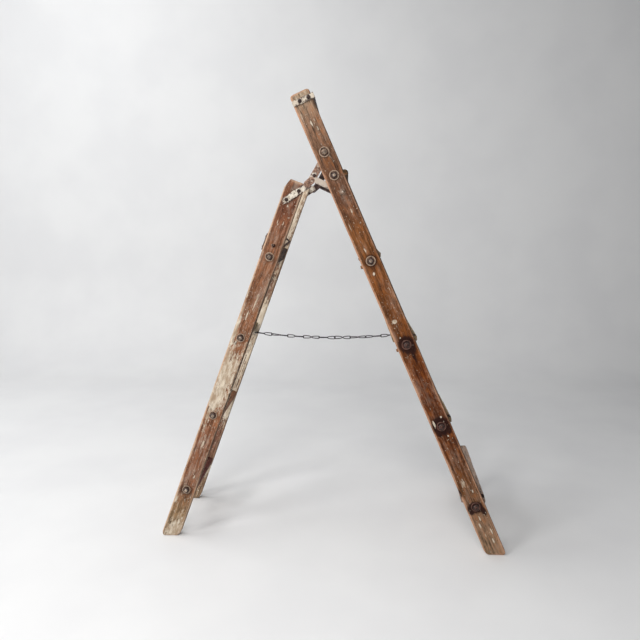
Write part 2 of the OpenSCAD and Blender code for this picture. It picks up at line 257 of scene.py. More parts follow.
def settle(obj: bpy.types.Object, body: Body, node: str) -> bpy.types.Object:
    """Links an object, puts it on its body and hides the CAD node that it stands for.

    Args:
        obj: The finished piece.
        body: The body it moves with.
        node: CAD node that it stands for.

    Returns:
        The same object.
    """
    bpy.context.scene.collection.objects.link(obj)
    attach(obj, body.value)
    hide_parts(node)
    log.info("%s: %d faces on %s", obj.name, len(obj.data.polygons), body.value)
    return obj


# ---------------------------------------------------------------- shapes


def skin(rings: int, count: int, closed: bool = False, twist: int = 0) -> list[tuple[int, ...]]:
    """Returns the faces between rings of points.

    Args:
        rings: How many rings.
        count: Points on each.
        closed: Whether the last ring joins the first.
        twist: How many points the last join is turned by.

    Returns:
        Corner numbers of each face.
    """
    faces = []
    for i in range(rings if closed else rings - 1):
        here, there = i * count, (i + 1) % rings * count
        o = twist if i == rings - 1 else 0
        for j in range(count):
            h = (j + 1) % count
            faces.append((here + j, here + h, there + (h + o) % count, there + (j + o) % count))
    return faces


def caps(rings: int, count: int) -> list[tuple[int, ...]]:
    """Returns the faces that close the first and the last ring."""
    return [tuple(range(count - 1, -1, -1)), tuple(range((rings - 1) * count, rings * count))]


@dataclass(frozen=True)
class Mark:
    """A soft spot painted on a bar's mask.

    Args:
        channel: The mask it goes on.
        v: Place across the bar.
        q: Place along the bar.
        rv: Reach across.
        rq: Reach along.
        amount: Strength at its middle.
        outer: Whether it keeps to the bar's outer face.
    """

    channel: Channel
    v: float
    q: float
    rv: float
    rq: float
    amount: float = 1.0
    outer: bool = True


@dataclass(frozen=True)
class Bar:
    """Worn bar along z: width across x, depth from y = 0, with eased and knocked edges.

    Args:
        width: Size across x.
        depth: Size through y.
        length: Size along z.
        ease: Radius of the long edges.
        wear: How uneven the edges and faces are.
        seed: Number that picks its wear.
        step: Spacing of points along.
        flat: Spacing of points across a face.
        tip: Length over which the ends round off.
        round_tip: Whether the ends are full half circles seen along y.
        foot: Rows (slope with x, slope with y) that shear the start onto a plane.
        heel: Length over which the start rounds off, where it differs from the tip.
        trims: Corner cuts at the end: side of x, where the cut starts, how fast it goes in.
        marks: Spots on its masks.
    """

    width: float
    depth: float
    length: float
    ease: float = 3.0
    wear: float = 1.0
    seed: int = 1
    step: float = 4.0
    flat: float = 3.4
    tip: float = 3.0
    round_tip: bool = False
    foot: tuple[float, float] | None = None
    heel: float = 0.0
    trims: tuple[tuple[int, float, float], ...] = ()
    marks: tuple[Mark, ...] = ()

    def _stations(self) -> tuple[np.ndarray, np.ndarray, np.ndarray]:
        """Works out the rings that the surface is made on.

        Returns:
            Places along the bar, and how far its width and its depth draw in there.
        """
        reach = self.width / 2 if self.round_tip else self.tip
        first = self.heel or reach
        turn = np.linspace(0, math.pi / 2, 9 if self.round_tip or self.heel else 4)
        curve = 1 - np.cos(turn)
        count = max(2, int((self.length - first - reach) / self.step))
        middle = np.linspace(first, self.length - reach, count + 1)[1:-1]
        s = np.concatenate([first * curve, middle, self.length - reach * curve[::-1]])
        near = np.minimum(s, self.length - s)
        reach = np.where(s < self.length / 2, first, reach)
        far = np.clip(1 - near / reach, 0, 1)
        across = reach * (1 - np.sqrt(1 - far**2))
        if self.heel:
            across = np.where(s < self.length / 2, 0.6 * across, across)
        lip = min(self.tip, self.depth * 0.3)
        through = lip * (1 - np.sqrt(1 - np.clip(1 - near / lip, 0, 1) ** 2)) * 0.9
        return s, np.minimum(across, self.width / 2 - 0.4), through

    def _corners(self, grit: Grit, s: np.ndarray, limit: np.ndarray) -> list[tuple[int, int, np.ndarray]]:
        """Works out how worn each long edge is.

        Args:
            grit: The bar's noise.
            s: Places along the bar.
            limit: Widest radius at each place.

        Returns:
            Sign of x, sign of y and radius along each of the four edges.
        """
        zero = np.zeros(len(s))
        corners = []
        for k, (sx, sy) in enumerate(((1, 1), (-1, 1), (-1, -1), (1, -1))):
            along = np.stack([zero + 31.7 * k, zero, s], 1)
            knock = np.clip(grit.at(along, (9, 9, 55)) - 0.45, 0, 1) * 2.2 + 0.35 * grit.at(along, (9, 9, 14))
            r = self.ease * np.clip(1 + self.wear * knock, 0.45, 2.4)
            corners.append((sx, sy, np.minimum(r, limit)))
        return corners

    def _outline(
        self, grit: Grit, s: np.ndarray, half_w: np.ndarray, half_d: np.ndarray
    ) -> tuple[np.ndarray, ...]:
        """Works out the rounded outline of every ring.

        Args:
            grit: The bar's noise.
            s: Places along the bar.
            half_w: Half width at each place.
            half_d: Half depth at each place.

        Returns:
            x and y by ring and point, and x and y of the outward direction by point.
        """
        arc, wide, deep = 4, max(2, int(self.width / self.flat)), max(2, int(self.depth / self.flat))
        corners = self._corners(grit, s, 0.92 * np.minimum(half_w, half_d))
        across, through, out_x, out_y = [], [], [], []
        for k, (sx, sy, r) in enumerate(corners):
            for j in range(arc + 1):
                a = math.pi / 2 * (k + j / arc)
                across.append(sx * (half_w - r) + r * math.cos(a))
                through.append(sy * (half_d - r) + r * math.sin(a))
                out_x.append(math.cos(a))
                out_y.append(math.sin(a))
            tx, ty, tr = corners[(k + 1) % 4]
            a = math.pi / 2 * (k + 1)
            end = (tx * (half_w - tr) + tr * math.cos(a), ty * (half_d - tr) + tr * math.sin(a))
            begin = (across[-1], through[-1])
            count = wide if k % 2 == 0 else deep
            for j in range(1, count):
                across.append(begin[0] + (end[0] - begin[0]) * j / count)
                through.append(begin[1] + (end[1] - begin[1]) * j / count)
                out_x.append(math.cos(a))
                out_y.append(math.sin(a))
        return np.stack(across, 1), np.stack(through, 1), np.array(out_x), np.array(out_y)

    def shell(self) -> Shell:
        """Builds the bar.

        Returns:
            Its surface with its grain and masks.
        """
        grit = Grit(self.seed)
        s, in_w, in_d = self._stations()
        half_w, half_d = self.width / 2 - in_w, self.depth / 2 - in_d
        x, y, out_x, out_y = self._outline(grit, s, half_w, half_d)
        z = np.repeat(s[:, None], x.shape[1], 1)
        flat = np.stack([x.ravel(), y.ravel(), z.ravel()], 1)
        sink = 0.16 * self.wear * (
            grit.at(flat, (2.6, 2.6, 70))
            + 0.9 * grit.at(flat, (6, 6, 30))
            + 1.1 * grit.at(flat, (17, 17, 26))
        )
        sink = (sink - 0.25 * self.wear).reshape(x.shape) * np.clip(half_d / self.depth * 2, 0, 1)[:, None]
        x = x + sink * out_x
        y = y + sink * out_y
        for side, start, slope in self.trims:
            limit = self.width / 2 - np.clip(z - start, 0, None) * slope
            x = side * np.minimum(side * x, limit)
        grain = np.stack([x.ravel(), y.ravel(), z.ravel()], 1)
        if self.foot is not None:
            fade = np.clip(1 - z / 260, 0, 1)
            z = z + fade * (x * self.foot[0] + (y + self.depth / 2) * self.foot[1])
        points = np.stack([x.ravel(), y.ravel() + self.depth / 2, z.ravel()], 1)
        return Shell(points, skin(*x.shape) + caps(*x.shape), grain, self._masks(grain))

    def _masks(self, p: np.ndarray) -> dict[Channel, np.ndarray]:
        """Works out the edge mask and every painted mask.

        Args:
            p: Points in the bar's own coordinates, middled on its depth.

        Returns:
            One value per point for each channel in use.
        """
        gap = self.width / 2 - np.abs(p[:, 0]) + self.depth / 2 - np.abs(p[:, 1])
        ends = np.minimum(p[:, 2], self.length - p[:, 2])
        side = np.minimum(self.width / 2 - np.abs(p[:, 0]), self.depth / 2 - np.abs(p[:, 1]))
        masks = {Channel.EDGE: np.exp(-np.minimum(gap, ends + np.clip(side, 0, None)) / 5.0)}
        outside = np.clip(0.5 - p[:, 1] / self.depth * 1.6, 0, 1)
        for mark in self.marks:
            spot = mark.amount * np.exp(
                -(((p[:, 0] - mark.v) / mark.rv) ** 2) - ((p[:, 2] - mark.q) / mark.rq) ** 2
            )
            if mark.outer:
                spot = spot * outside
            masks[mark.channel] = np.maximum(masks.get(mark.channel, np.zeros(len(p))), spot)
        return masks


def lathe(
    profile: Sequence[tuple[float, float]], count: int = 16, closed: bool = False, sides: int = 0
) -> Shell:
    """Returns a surface turned about z.

    Args:
        profile: Rows of radius and height, going up outside.
        count: Points round the axis.
        closed: Whether the profile is a ring, as on a washer.
        sides: Where not 0, the outline is a polygon with that many sides outside a bore.

    Returns:
        The turned surface.
    """
    turn = np.arange(count) * 2 * math.pi / count
    stretch = np.ones(count)
    if sides:
        part = (turn + math.pi / sides) % (2 * math.pi / sides) - math.pi / sides
        stretch = 1 / np.cos(part)
    bore = min(r for r, _ in profile) if sides else -1.0
    points = []
    for r, z in profile:
        k = np.ones(count) if r <= bore else stretch
        points.append(np.stack([r * k * np.cos(turn), r * k * np.sin(turn), np.full(count, z)], 1))
    faces = skin(len(profile), count, closed) + ([] if closed else caps(len(profile), count))
    shell = Shell(np.concatenate(points), faces)
    reach = max(r for r, _ in profile)
    away = np.hypot(shell.points[:, 0], shell.points[:, 1])
    shell.masks[Channel.EDGE] = np.clip(away / reach, 0, 1) ** 3
    return shell


def rod(radius: float, start: float, end: float, count: int = 16, dome: float = 1.0, rings: int = 1) -> Shell:
    """Returns a round bar along z with slightly domed ends.

    Args:
        radius: Its radius.
        start: Where it starts.
        end: Where it ends.
        count: Points round it.
        dome: Height of its domed ends.
        rings: Stretches along it.

    Returns:
        Its surface.
    """
    z = np.linspace(start + dome, end - dome, rings + 1)
    body = [(radius, float(h)) for h in z]
    foot = [(radius * 0.35, start), (radius * 0.8, start + dome * 0.25)]
    head = [(radius * 0.8, end - dome * 0.25), (radius * 0.35, end)]
    return lathe(foot + body + head, count)


def tube(path: np.ndarray, radius: float, count: int = 8, closed: bool = True) -> Shell:
    """Returns a round wire along a path of points.

    Args:
        path: Rows of x, y, z.
        radius: Radius of the wire.
        count: Points round it.
        closed: Whether the path comes back to its start.

    Returns:
        The wire's surface.
    """
    n = len(path)
    ahead = np.roll(path, -1, 0) - np.roll(path, 1, 0)
    if not closed:
        ahead[0], ahead[-1] = path[1] - path[0], path[-1] - path[-2]
    ahead /= np.linalg.norm(ahead, axis=1, keepdims=True)
    normal = np.cross(ahead[0], [0.3, 0.5, 0.8])
    rings = []
    turn = np.arange(count) * 2 * math.pi / count
    for i in range(n):
        normal = normal - ahead[i] * (normal @ ahead[i])
        normal /= np.linalg.norm(normal)
        other = np.cross(ahead[i], normal)
        rings.append(path[i] + radius * (np.cos(turn)[:, None] * normal + np.sin(turn)[:, None] * other))
    offset = 0
    if closed:
        gaps = [np.abs(np.roll(rings[0], -k, 0) - rings[-1]).sum() for k in range(count)]
        offset = int(np.argmin(gaps))
    faces = skin(n, count, closed, offset) + ([] if closed else caps(n, count))
    return Shell(np.concatenate(rings), faces, masks={Channel.EDGE: np.full(n * count, 0.4)})


# ---------------------------------------------------------------- finishes


def tone(code: str) -> RGB:
    """Returns a linear colour from six hexadecimal digits."""
    values = [int(code[i : i + 2], 16) / 255 for i in (0, 2, 4)]
    return tuple(v / 12.92 if v <= 0.04045 else ((v + 0.055) / 1.055) ** 2.4 for v in values)


class Graph:
    """Short way to build one material's nodes.

    Args:
        name: Name of the material.
    """

    def __init__(self, name: str) -> None:
        """Makes an empty material.

        Args:
            name: Its name.
        """
        self.material = bpy.data.materials.new(name)
        self.material.use_nodes = True
        self.tree = self.material.node_tree
        self.tree.nodes.clear()

    def node(self, kind: str, inputs: dict | None = None, out: int = 0, **settings: object) -> Socket:
        """Adds a node and returns one of its outputs.

        Args:
            kind: Node type without its Shader prefix.
            inputs: Values or other outputs by input name or number.
            out: Which output to return.
            settings: Node properties.

        Returns:
            The output socket.
        """
        made = self.tree.nodes.new("ShaderNode" + kind)
        for key, value in settings.items():
            setattr(made, key, value)
        for key, value in (inputs or {}).items():
            if isinstance(value, bpy.types.NodeSocket):
                self.tree.links.new(value, made.inputs[key])
            elif isinstance(value, tuple) and made.inputs[key].type == "RGBA":
                made.inputs[key].default_value = (*value, 1.0)
            else:
                made.inputs[key].default_value = value
        return made.outputs[out]

    def mask(self, channel: Channel) -> Socket:
        """Returns a mesh mask as a number."""
        return self.node("Attribute", out=2, attribute_name=channel.value)

    def noise(self, vector: Socket, scale: float, detail: float = 3.0, rough: float = 0.55) -> Socket:
        """Returns noise from about 0.2 to 0.8 at a vector."""
        return self.node("TexNoise", {"Vector": vector, "Scale": scale, "Detail": detail, "Roughness": rough})

    def stretch(self, vector: Socket, by: tuple[float, float, float]) -> Socket:
        """Returns a vector multiplied along each axis."""
        return self.node("VectorMath", {0: vector, 1: by}, operation="MULTIPLY")

    def fit(
        self, value: Socket, low: float, high: float, to_low: float = 0.0, to_high: float = 1.0
    ) -> Socket:
        """Moves a value smoothly from one range to another and holds it at its ends.

        Args:
            value: The value.
            low: Start of its range.
            high: End of its range.
            to_low: Start of the new range.
            to_high: End of the new range.

        Returns:
            The moved value.
        """
        return self.node(
            "MapRange", {0: value, 1: low, 2: high, 3: to_low, 4: to_high}, interpolation_type="SMOOTHSTEP"
        )

    def sum(self, *terms: tuple[Value, float]) -> Socket:
        """Returns a weighted sum of values.

        Args:
            terms: Each value with its weight.

        Returns:
            The sum.
        """
        total = 0.0
        for value, weight in terms:
            total = self.node("Math", {0: value, 1: weight, 2: total}, operation="MULTIPLY_ADD")
        return total

    def times(self, a: Value, b: Value) -> Socket:
        """Returns the product of two values, from 0 to 1."""
        return self.node("Math", {0: a, 1: b}, operation="MULTIPLY", use_clamp=True)

    def mix(self, factor: Value, a: Socket | RGB, b: Socket | RGB, blend: str = "MIX") -> Socket:
        """Returns a colour between two colours."""
        return self.node("Mix", {0: factor, 6: a, 7: b}, 2, data_type="RGBA", blend_type=blend)

    def ramp(self, value: Socket, stops: Stops) -> Socket:
        """Returns a colour between stops.

        Args:
            value: Where to read it, from 0 to 1.
            stops: Colours at values from 0 to 1.

        Returns:
            The colour.
        """
        out = self.node("ValToRGB", {0: value})
        points = out.node.color_ramp.elements
        while len(points) < len(stops):
            points.new(0.5)
        for point, (place, colour) in zip(points, stops):
            point.position = place
            point.color = (*colour, 1.0)
        return out

    def finish(
        self, colour: Socket, roughness: Value, height: Value,
        metallic: Value = 0.0, lift: float = 0.0006, shine: float = 0.5,
    ) -> bpy.types.Material:
        """Wires the surface.

        Args:
            colour: Its colour.
            roughness: Its roughness.
            height: Its fine relief.
            metallic: How metallic it is.
            lift: Depth of the relief, metres.
            shine: Its specular level.

        Returns:
            The finished material.
        """
        bump = self.node("Bump", {"Strength": 0.75, "Distance": lift, "Height": height})
        surface = self.node(
            "BsdfPrincipled",
            {
                "Base Color": colour, "Roughness": roughness, "Metallic": metallic, "Normal": bump,
                "Specular IOR Level": shine,
            },
        )
        end = self.tree.nodes.new("ShaderNodeOutputMaterial")
        self.tree.links.new(surface, end.inputs["Surface"])
        return self.material


@dataclass(frozen=True)
class WeatheredWood:
    """Old bare timber with rust stains and remains of pale paint.

    Args:
        name: Name of the finish.
        length: Length of the timber that its stops are measured on.
        along: Colours at distances along the timber.
        wash: How much paint is left at distances along it, 0 to 1.
        edge: Colour of the edges, light from rubbed wear and as a painted highlight.
        paint: Colour of the paint.
        grey: How far it has gone grey.
        rub: How much of the edges takes the edge colour, as rubbed wear and as a painted highlight.
        inside: Paint added on the face toward the middle of the object.
        specks: Strength of fine paint spatter.
        soil: Colour of the paint where it is dirty.
        warmth: Strength of orange patches in the grain.
    """

    name: str
    length: float
    along: Stops
    wash: tuple[tuple[float, float], ...] = ((0.0, 0.0),)
    edge: RGB = tone("c39a78")
    paint: RGB = tone("e2d6c2")
    grey: float = 0.35
    rub: float = 0.75
    inside: float = 0.0
    specks: float = 0.6
    soil: RGB = tone("a8927a")
    warmth: float = 0.4

    def _noises(self, g: Graph, grain: Socket) -> dict[str, Socket]:
        """Builds the wood's noises, each stretched its own way along the grain.

        Args:
            g: The material's nodes.
            grain: Place across, through and along the timber.

        Returns:
            The noises by name.
        """
        rules = {
            "streak": ((120, 120, 5), 5, 0.7),
            "fibre": ((340, 340, 22), 4, 0.65),
            "pore": ((520, 520, 30), 2, 0.5),
            "blotch": ((26, 26, 9), 4, 0.62),
            "mottle": ((75, 75, 24), 5, 0.68),
            "fleck": ((190, 190, 75), 5, 0.7),
            "spatter": ((230, 230, 105), 2, 0.5),
        }
        return {
            name: g.noise(g.stretch(grain, by), 1.0, detail, rough)
            for name, (by, detail, rough) in rules.items()
        }

    def _timber(self, g: Graph, place: Socket, n: dict[str, Socket]) -> Socket:
        """Returns the colour of the bare timber, its grain, warm patches and grey weathering.

        Args:
            g: The material's nodes.
            place: Place along the timber, from 0 to 1.
            n: The noises.

        Returns:
            The colour.
        """
        base = g.ramp(place, tuple((p / self.length, c) for p, c in self.along))
        shade = g.sum(
            (g.fit(n["streak"], 0.36, 0.64, 0.15, 1.3), 0.42),
            (g.fit(n["fibre"], 0.34, 0.66, 0.2, 1.6), 0.32),
            (g.fit(n["mottle"], 0.36, 0.64, 0.3, 1.5), 0.4),
        )
        colour = g.mix(1.0, base, g.node("CombineColor", {0: shade, 1: shade, 2: shade}), "MULTIPLY")
        warm = g.times(g.fit(g.sum((n["mottle"], 0.6), (n["streak"], 0.4)), 0.5, 0.62), self.warmth)
        colour = g.mix(warm, colour, tone("955728"))
        silver = g.fit(g.sum((n["blotch"], 0.5), (n["streak"], 0.3), (n["fleck"], 0.3)), 0.52, 0.66)
        return g.mix(g.times(silver, self.grey), colour, tone("9c8778"))

    def _cover(self, g: Graph, place: Socket, depth: Socket, edge: Socket, n: dict[str, Socket]) -> Socket:
        """Returns where paint remains.

        Args:
            g: The material's nodes.
            place: Place along the timber, from 0 to 1.
            depth: Place through the timber, metres.
            edge: Where the edges are rubbed.
            n: The noises.

        Returns:
            The paint's mask.
        """
        inner = g.fit(depth, 0.008, 0.0125, 0.0, self.inside)
        left = g.ramp(place, tuple((p / self.length, (w, w, w)) for p, w in self.wash))
        level = g.sum((left, 1.0), (g.mask(Channel.PAINT), 1.0), (inner, 1.0))
        broken = g.sum(
            (level, 1.0), (n["fleck"], 1.0), (n["streak"], 0.6),
            (n["fibre"], 0.35), (n["mottle"], 0.3), (edge, -0.1),
        )
        cover = g.times(g.fit(broken, 1.5, 1.72), g.fit(level, 0.0, 0.12))
        specks = g.times(g.fit(n["spatter"], 0.66, 0.71), self.specks)
        return g.node("Math", {0: cover, 1: specks}, operation="MAXIMUM")

    def build(self) -> bpy.types.Material:
        """Builds the finish.

        Returns:
            The material.
        """
        g = Graph(self.name)
        grain = g.node("Attribute", out=1, attribute_name="grain")
        split = g.node("SeparateXYZ", {0: grain}).node.outputs
        place = g.node("Math", {0: split[2], 1: 1 / (METRE * self.length)}, operation="MULTIPLY")
        n = self._noises(g, grain)
        colour = self._timber(g, place, n)
        crack = g.fit(n["pore"], 0.58, 0.68)
        # The light edge colour is rubbed wear and also a painted highlight; the dark mask after it is dirt
        # and also painted shade.
        edge = g.fit(g.sum((g.mask(Channel.EDGE), 1.0), (n["blotch"], 0.7), (n["fleck"], 0.5)), 0.74, 1.15)
        grime = g.fit(g.sum((g.mask(Channel.GRIME), 1.0), (n["blotch"], 0.7), (n["fibre"], 0.25)), 0.6, 1.15)
        rust = g.fit(g.sum((g.mask(Channel.RUST), 1.0), (n["blotch"], 0.5), (n["fleck"], 0.55)), 0.7, 1.1)
        cover = self._cover(g, place, split[1], edge, n)
        dirty = g.mix(g.fit(n["mottle"], 0.35, 0.65), self.paint, self.soil)
        # Lays on cracks, light edges with their painted highlight, dark dirt with its painted shade, rust and
        # paint.
        for mask, strength, over in (
            (crack, 0.65, tone("1e110b")), (edge, self.rub, self.edge), (grime, 0.88, tone("1e110b")),
            (rust, 0.94, tone("240c08")), (cover, 0.9, dirty),
        ):
            colour = g.mix(g.times(mask, strength), colour, over)
        rough = g.sum((cover, -0.15), (n["fibre"], 0.15), (0.72, 1.0))
        height = g.sum(
            (n["streak"], 0.45), (n["fibre"], 0.5), (crack, -0.6), (cover, 0.35), (n["fleck"], 0.3)
        )
        return g.finish(colour, rough, height, lift=0.0013, shine=0.18)


@dataclass(frozen=True)
class Iron:
    """Wrought or rusted iron, bare or under chipped paint.

    Args:
        name: Name of the finish.
        dark: Colour in its hollows.
        light: Colour of its rust or scale.
        worn: Colour where it is rubbed.
        bright: How much of its edges is rubbed.
        metal: How metallic the bare iron is.
        paint: Colour of paint on it.
        cover: How much paint is left, 0 for none.
    """

    name: str
    dark: RGB
    light: RGB
    worn: RGB
    bright: float = 0.5
    metal: float = 0.45
    paint: RGB = tone("e4dccd")
    cover: float = 0.0

    def build(self) -> bpy.types.Material:
        """Builds the finish.

        Returns:
            The material.
        """
        g = Graph(self.name)
        place = g.node("TexCoord", out=3)
        cloud = g.noise(place, 95, 4, 0.6)
        pit = g.noise(place, 420, 3, 0.6)
        patch = g.noise(place, 48, 5, 0.66)
        colour = g.mix(g.fit(g.sum((cloud, 0.6), (pit, 0.4)), 0.4, 0.6), self.dark, self.light)
        rubbed = g.fit(g.sum((g.mask(Channel.EDGE), 0.6), (pit, 0.8), (cloud, 0.7)), 0.92, 1.22)
        colour = g.mix(g.times(rubbed, self.bright), colour, self.worn)
        chip = g.sum((patch, 0.9), (pit, 0.35), (g.mask(Channel.EDGE), -0.22), (self.cover, 1.0))
        paint = g.times(g.fit(chip, 1.0, 1.08), 1.0 if self.cover > 0 else 0.0)
        film = g.mix(g.fit(cloud, 0.35, 0.65), self.paint, tone("bfb3a2"))
        colour = g.mix(paint, colour, film)
        metallic = g.sum((paint, -self.metal), (self.metal, 1.0))
        rough = g.sum((pit, 0.25), (paint, 0.05), (rubbed, -0.15), (0.5, 1.0))
        height = g.sum((cloud, 0.5), (pit, 0.5), (paint, 0.6))
        return g.finish(colour, rough, height, metallic, 0.0007)


class Coat(Enum):
    """The iron finishes."""

    RUSTY = Iron("rusty_iron", tone("22120d"), tone("5c3c2c"), tone("b39a83"), 0.8, 0.1)
    DARK = Iron("dark_iron", tone("1d1412"), tone("46302a"), tone("7d6c66"), 0.4)
    PAINTED = Iron("painted_iron", tone("33201a"), tone("6b4a3c"), tone("8a7468"), 0.2, cover=0.52)
    FLAKED = Iron("flaked_iron", tone("4a3026"), tone("94705a"), tone("a98c7a"), 0.5, 0.2, cover=0.4)
    BARE_STEEL = Iron("bare_steel", tone("a89e92"), tone("cdc6bb"), tone("e6e1d9"), 0.6, 0.15)
    CHAIN = Iron("chain_iron", tone("1f1a1f"), tone("3d343b"), tone("6e646b"), 0.4, 0.3)
    ROD = Iron("tie_rod_iron", tone("5a4638"), tone("a58d78"), tone("d2c4b4"), 0.8, 0.15)
    SMALL_NUT = Iron(
        "small_nut_iron", tone("6a4c3c"), tone("94745f"), tone("b59a86"), 0.5, 0.1, tone("cfc2b2"), 0.5
    )
    HEAVY_RUST = Iron("heavy_rust", tone("180806"), tone("45211a"), tone("77503f"), 0.5, 0.05)
    PALE = Iron("pale_iron", tone("4a3a32"), tone("8d7a6c"), tone("b3a497"), 0.4, 0.2, tone("b9aca0"), 0.62)
    BAND = Iron("band_iron", tone("2c1c16"), tone("5d4436"), tone("94806f"), 0.4, 0.1, tone("d3c5b2"), 0.55)


# ---------------------------------------------------------------- the two leaning frames


@dataclass(frozen=True)
class Lean:
    """A leaning frame's own coordinates: v across a rail, y across the object, q up the rails.

    Args:
        foot_x: Place of its foot.
        angle: Turn about the cross axis, degrees.
        foot_w: Width over the rails at the foot.
        top_w: Width over the rails at their top.
        length: Length of a rail.
        rail_w: Depth of a rail.
        rail_t: Thickness of a rail.
    """

    foot_x: float
    angle: float
    foot_w: float
    top_w: float
    length: float
    rail_w: float
    rail_t: float

    @property
    def splay(self) -> float:
        """Outward splay of a rail, radians."""
        return math.atan((self.foot_w - self.top_w) / 2 / self.length)

    @property
    def matrix(self) -> Matrix:
        """Matrix from the frame's own coordinates to the object's."""
        return Matrix.Translation((self.foot_x, 0, 0)) @ Matrix.Rotation(math.radians(self.angle), 4, "Y")

    def rail(self, side: Side) -> Matrix:
        """Works out where a rail stands.

        Args:
            side: The side of the object.

        Returns:
            Matrix from the rail's own coordinates, its outer face at y = 0, to the object's.
        """
        mirror = Matrix.Diagonal((1, -side.value, 1, 1))
        shift = Matrix.Translation((0, -self.foot_w / 2, 0))
        return mirror @ self.matrix @ shift @ Matrix.Rotation(-self.splay, 4, "X")

    def foot(self) -> tuple[float, float]:
        """Slopes that bring a rail's foot onto the floor."""
        return math.tan(math.radians(self.angle)) / math.cos(self.splay), math.tan(self.splay)

    def out(self, q: float) -> float:
        """Half width over the rails."""
        return self.foot_w / 2 - q * math.tan(self.splay)

    def inside(self, q: float) -> float:
        """Half width between the rails."""
        return self.out(q) - self.rail_t / math.cos(self.splay)

    def across(self, v: float, q: float) -> Matrix:
        """Matrix that lays a shape along z across the frame, through v and q."""
        return self.matrix @ Matrix.Translation((v, 0, q)) @ Y_AXIS


def strip(
    start: tuple[float, float], end: tuple[float, float], width: float, thick: float, y: float, seed: int
) -> Shell:
    """Returns a round-ended strap between two points of a rail.

    Args:
        start: v and q of its first end's middle.
        end: v and q of its other end's middle.
        width: Its width.
        thick: Its thickness.
        y: Its least depth, from which it goes in by its thickness.
        seed: Number that picks its wear.

    Returns:
        The strap in the rail's own coordinates.
    """
    dv, dq = end[0] - start[0], end[1] - start[1]
    long = math.hypot(dv, dq)
    bar = Bar(width, thick, long + width, 1.1, 0.5, seed, step=4, flat=3, tip=1, round_tip=True)
    turn = Matrix.Rotation(math.atan2(dv, dq), 4, "Y")
    place = Matrix.Translation((start[0], y, start[1])) @ turn @ Matrix.Translation((0, 0, -width / 2))
    return bar.shell().placed(place)


@dataclass(frozen=True)
class Seat:
    """Where a repeated piece sits.

    Args:
        matrix: Its place and turn, its axis along z.
        size: Its scale.
    """

    matrix: Matrix
    size: float = 1.0


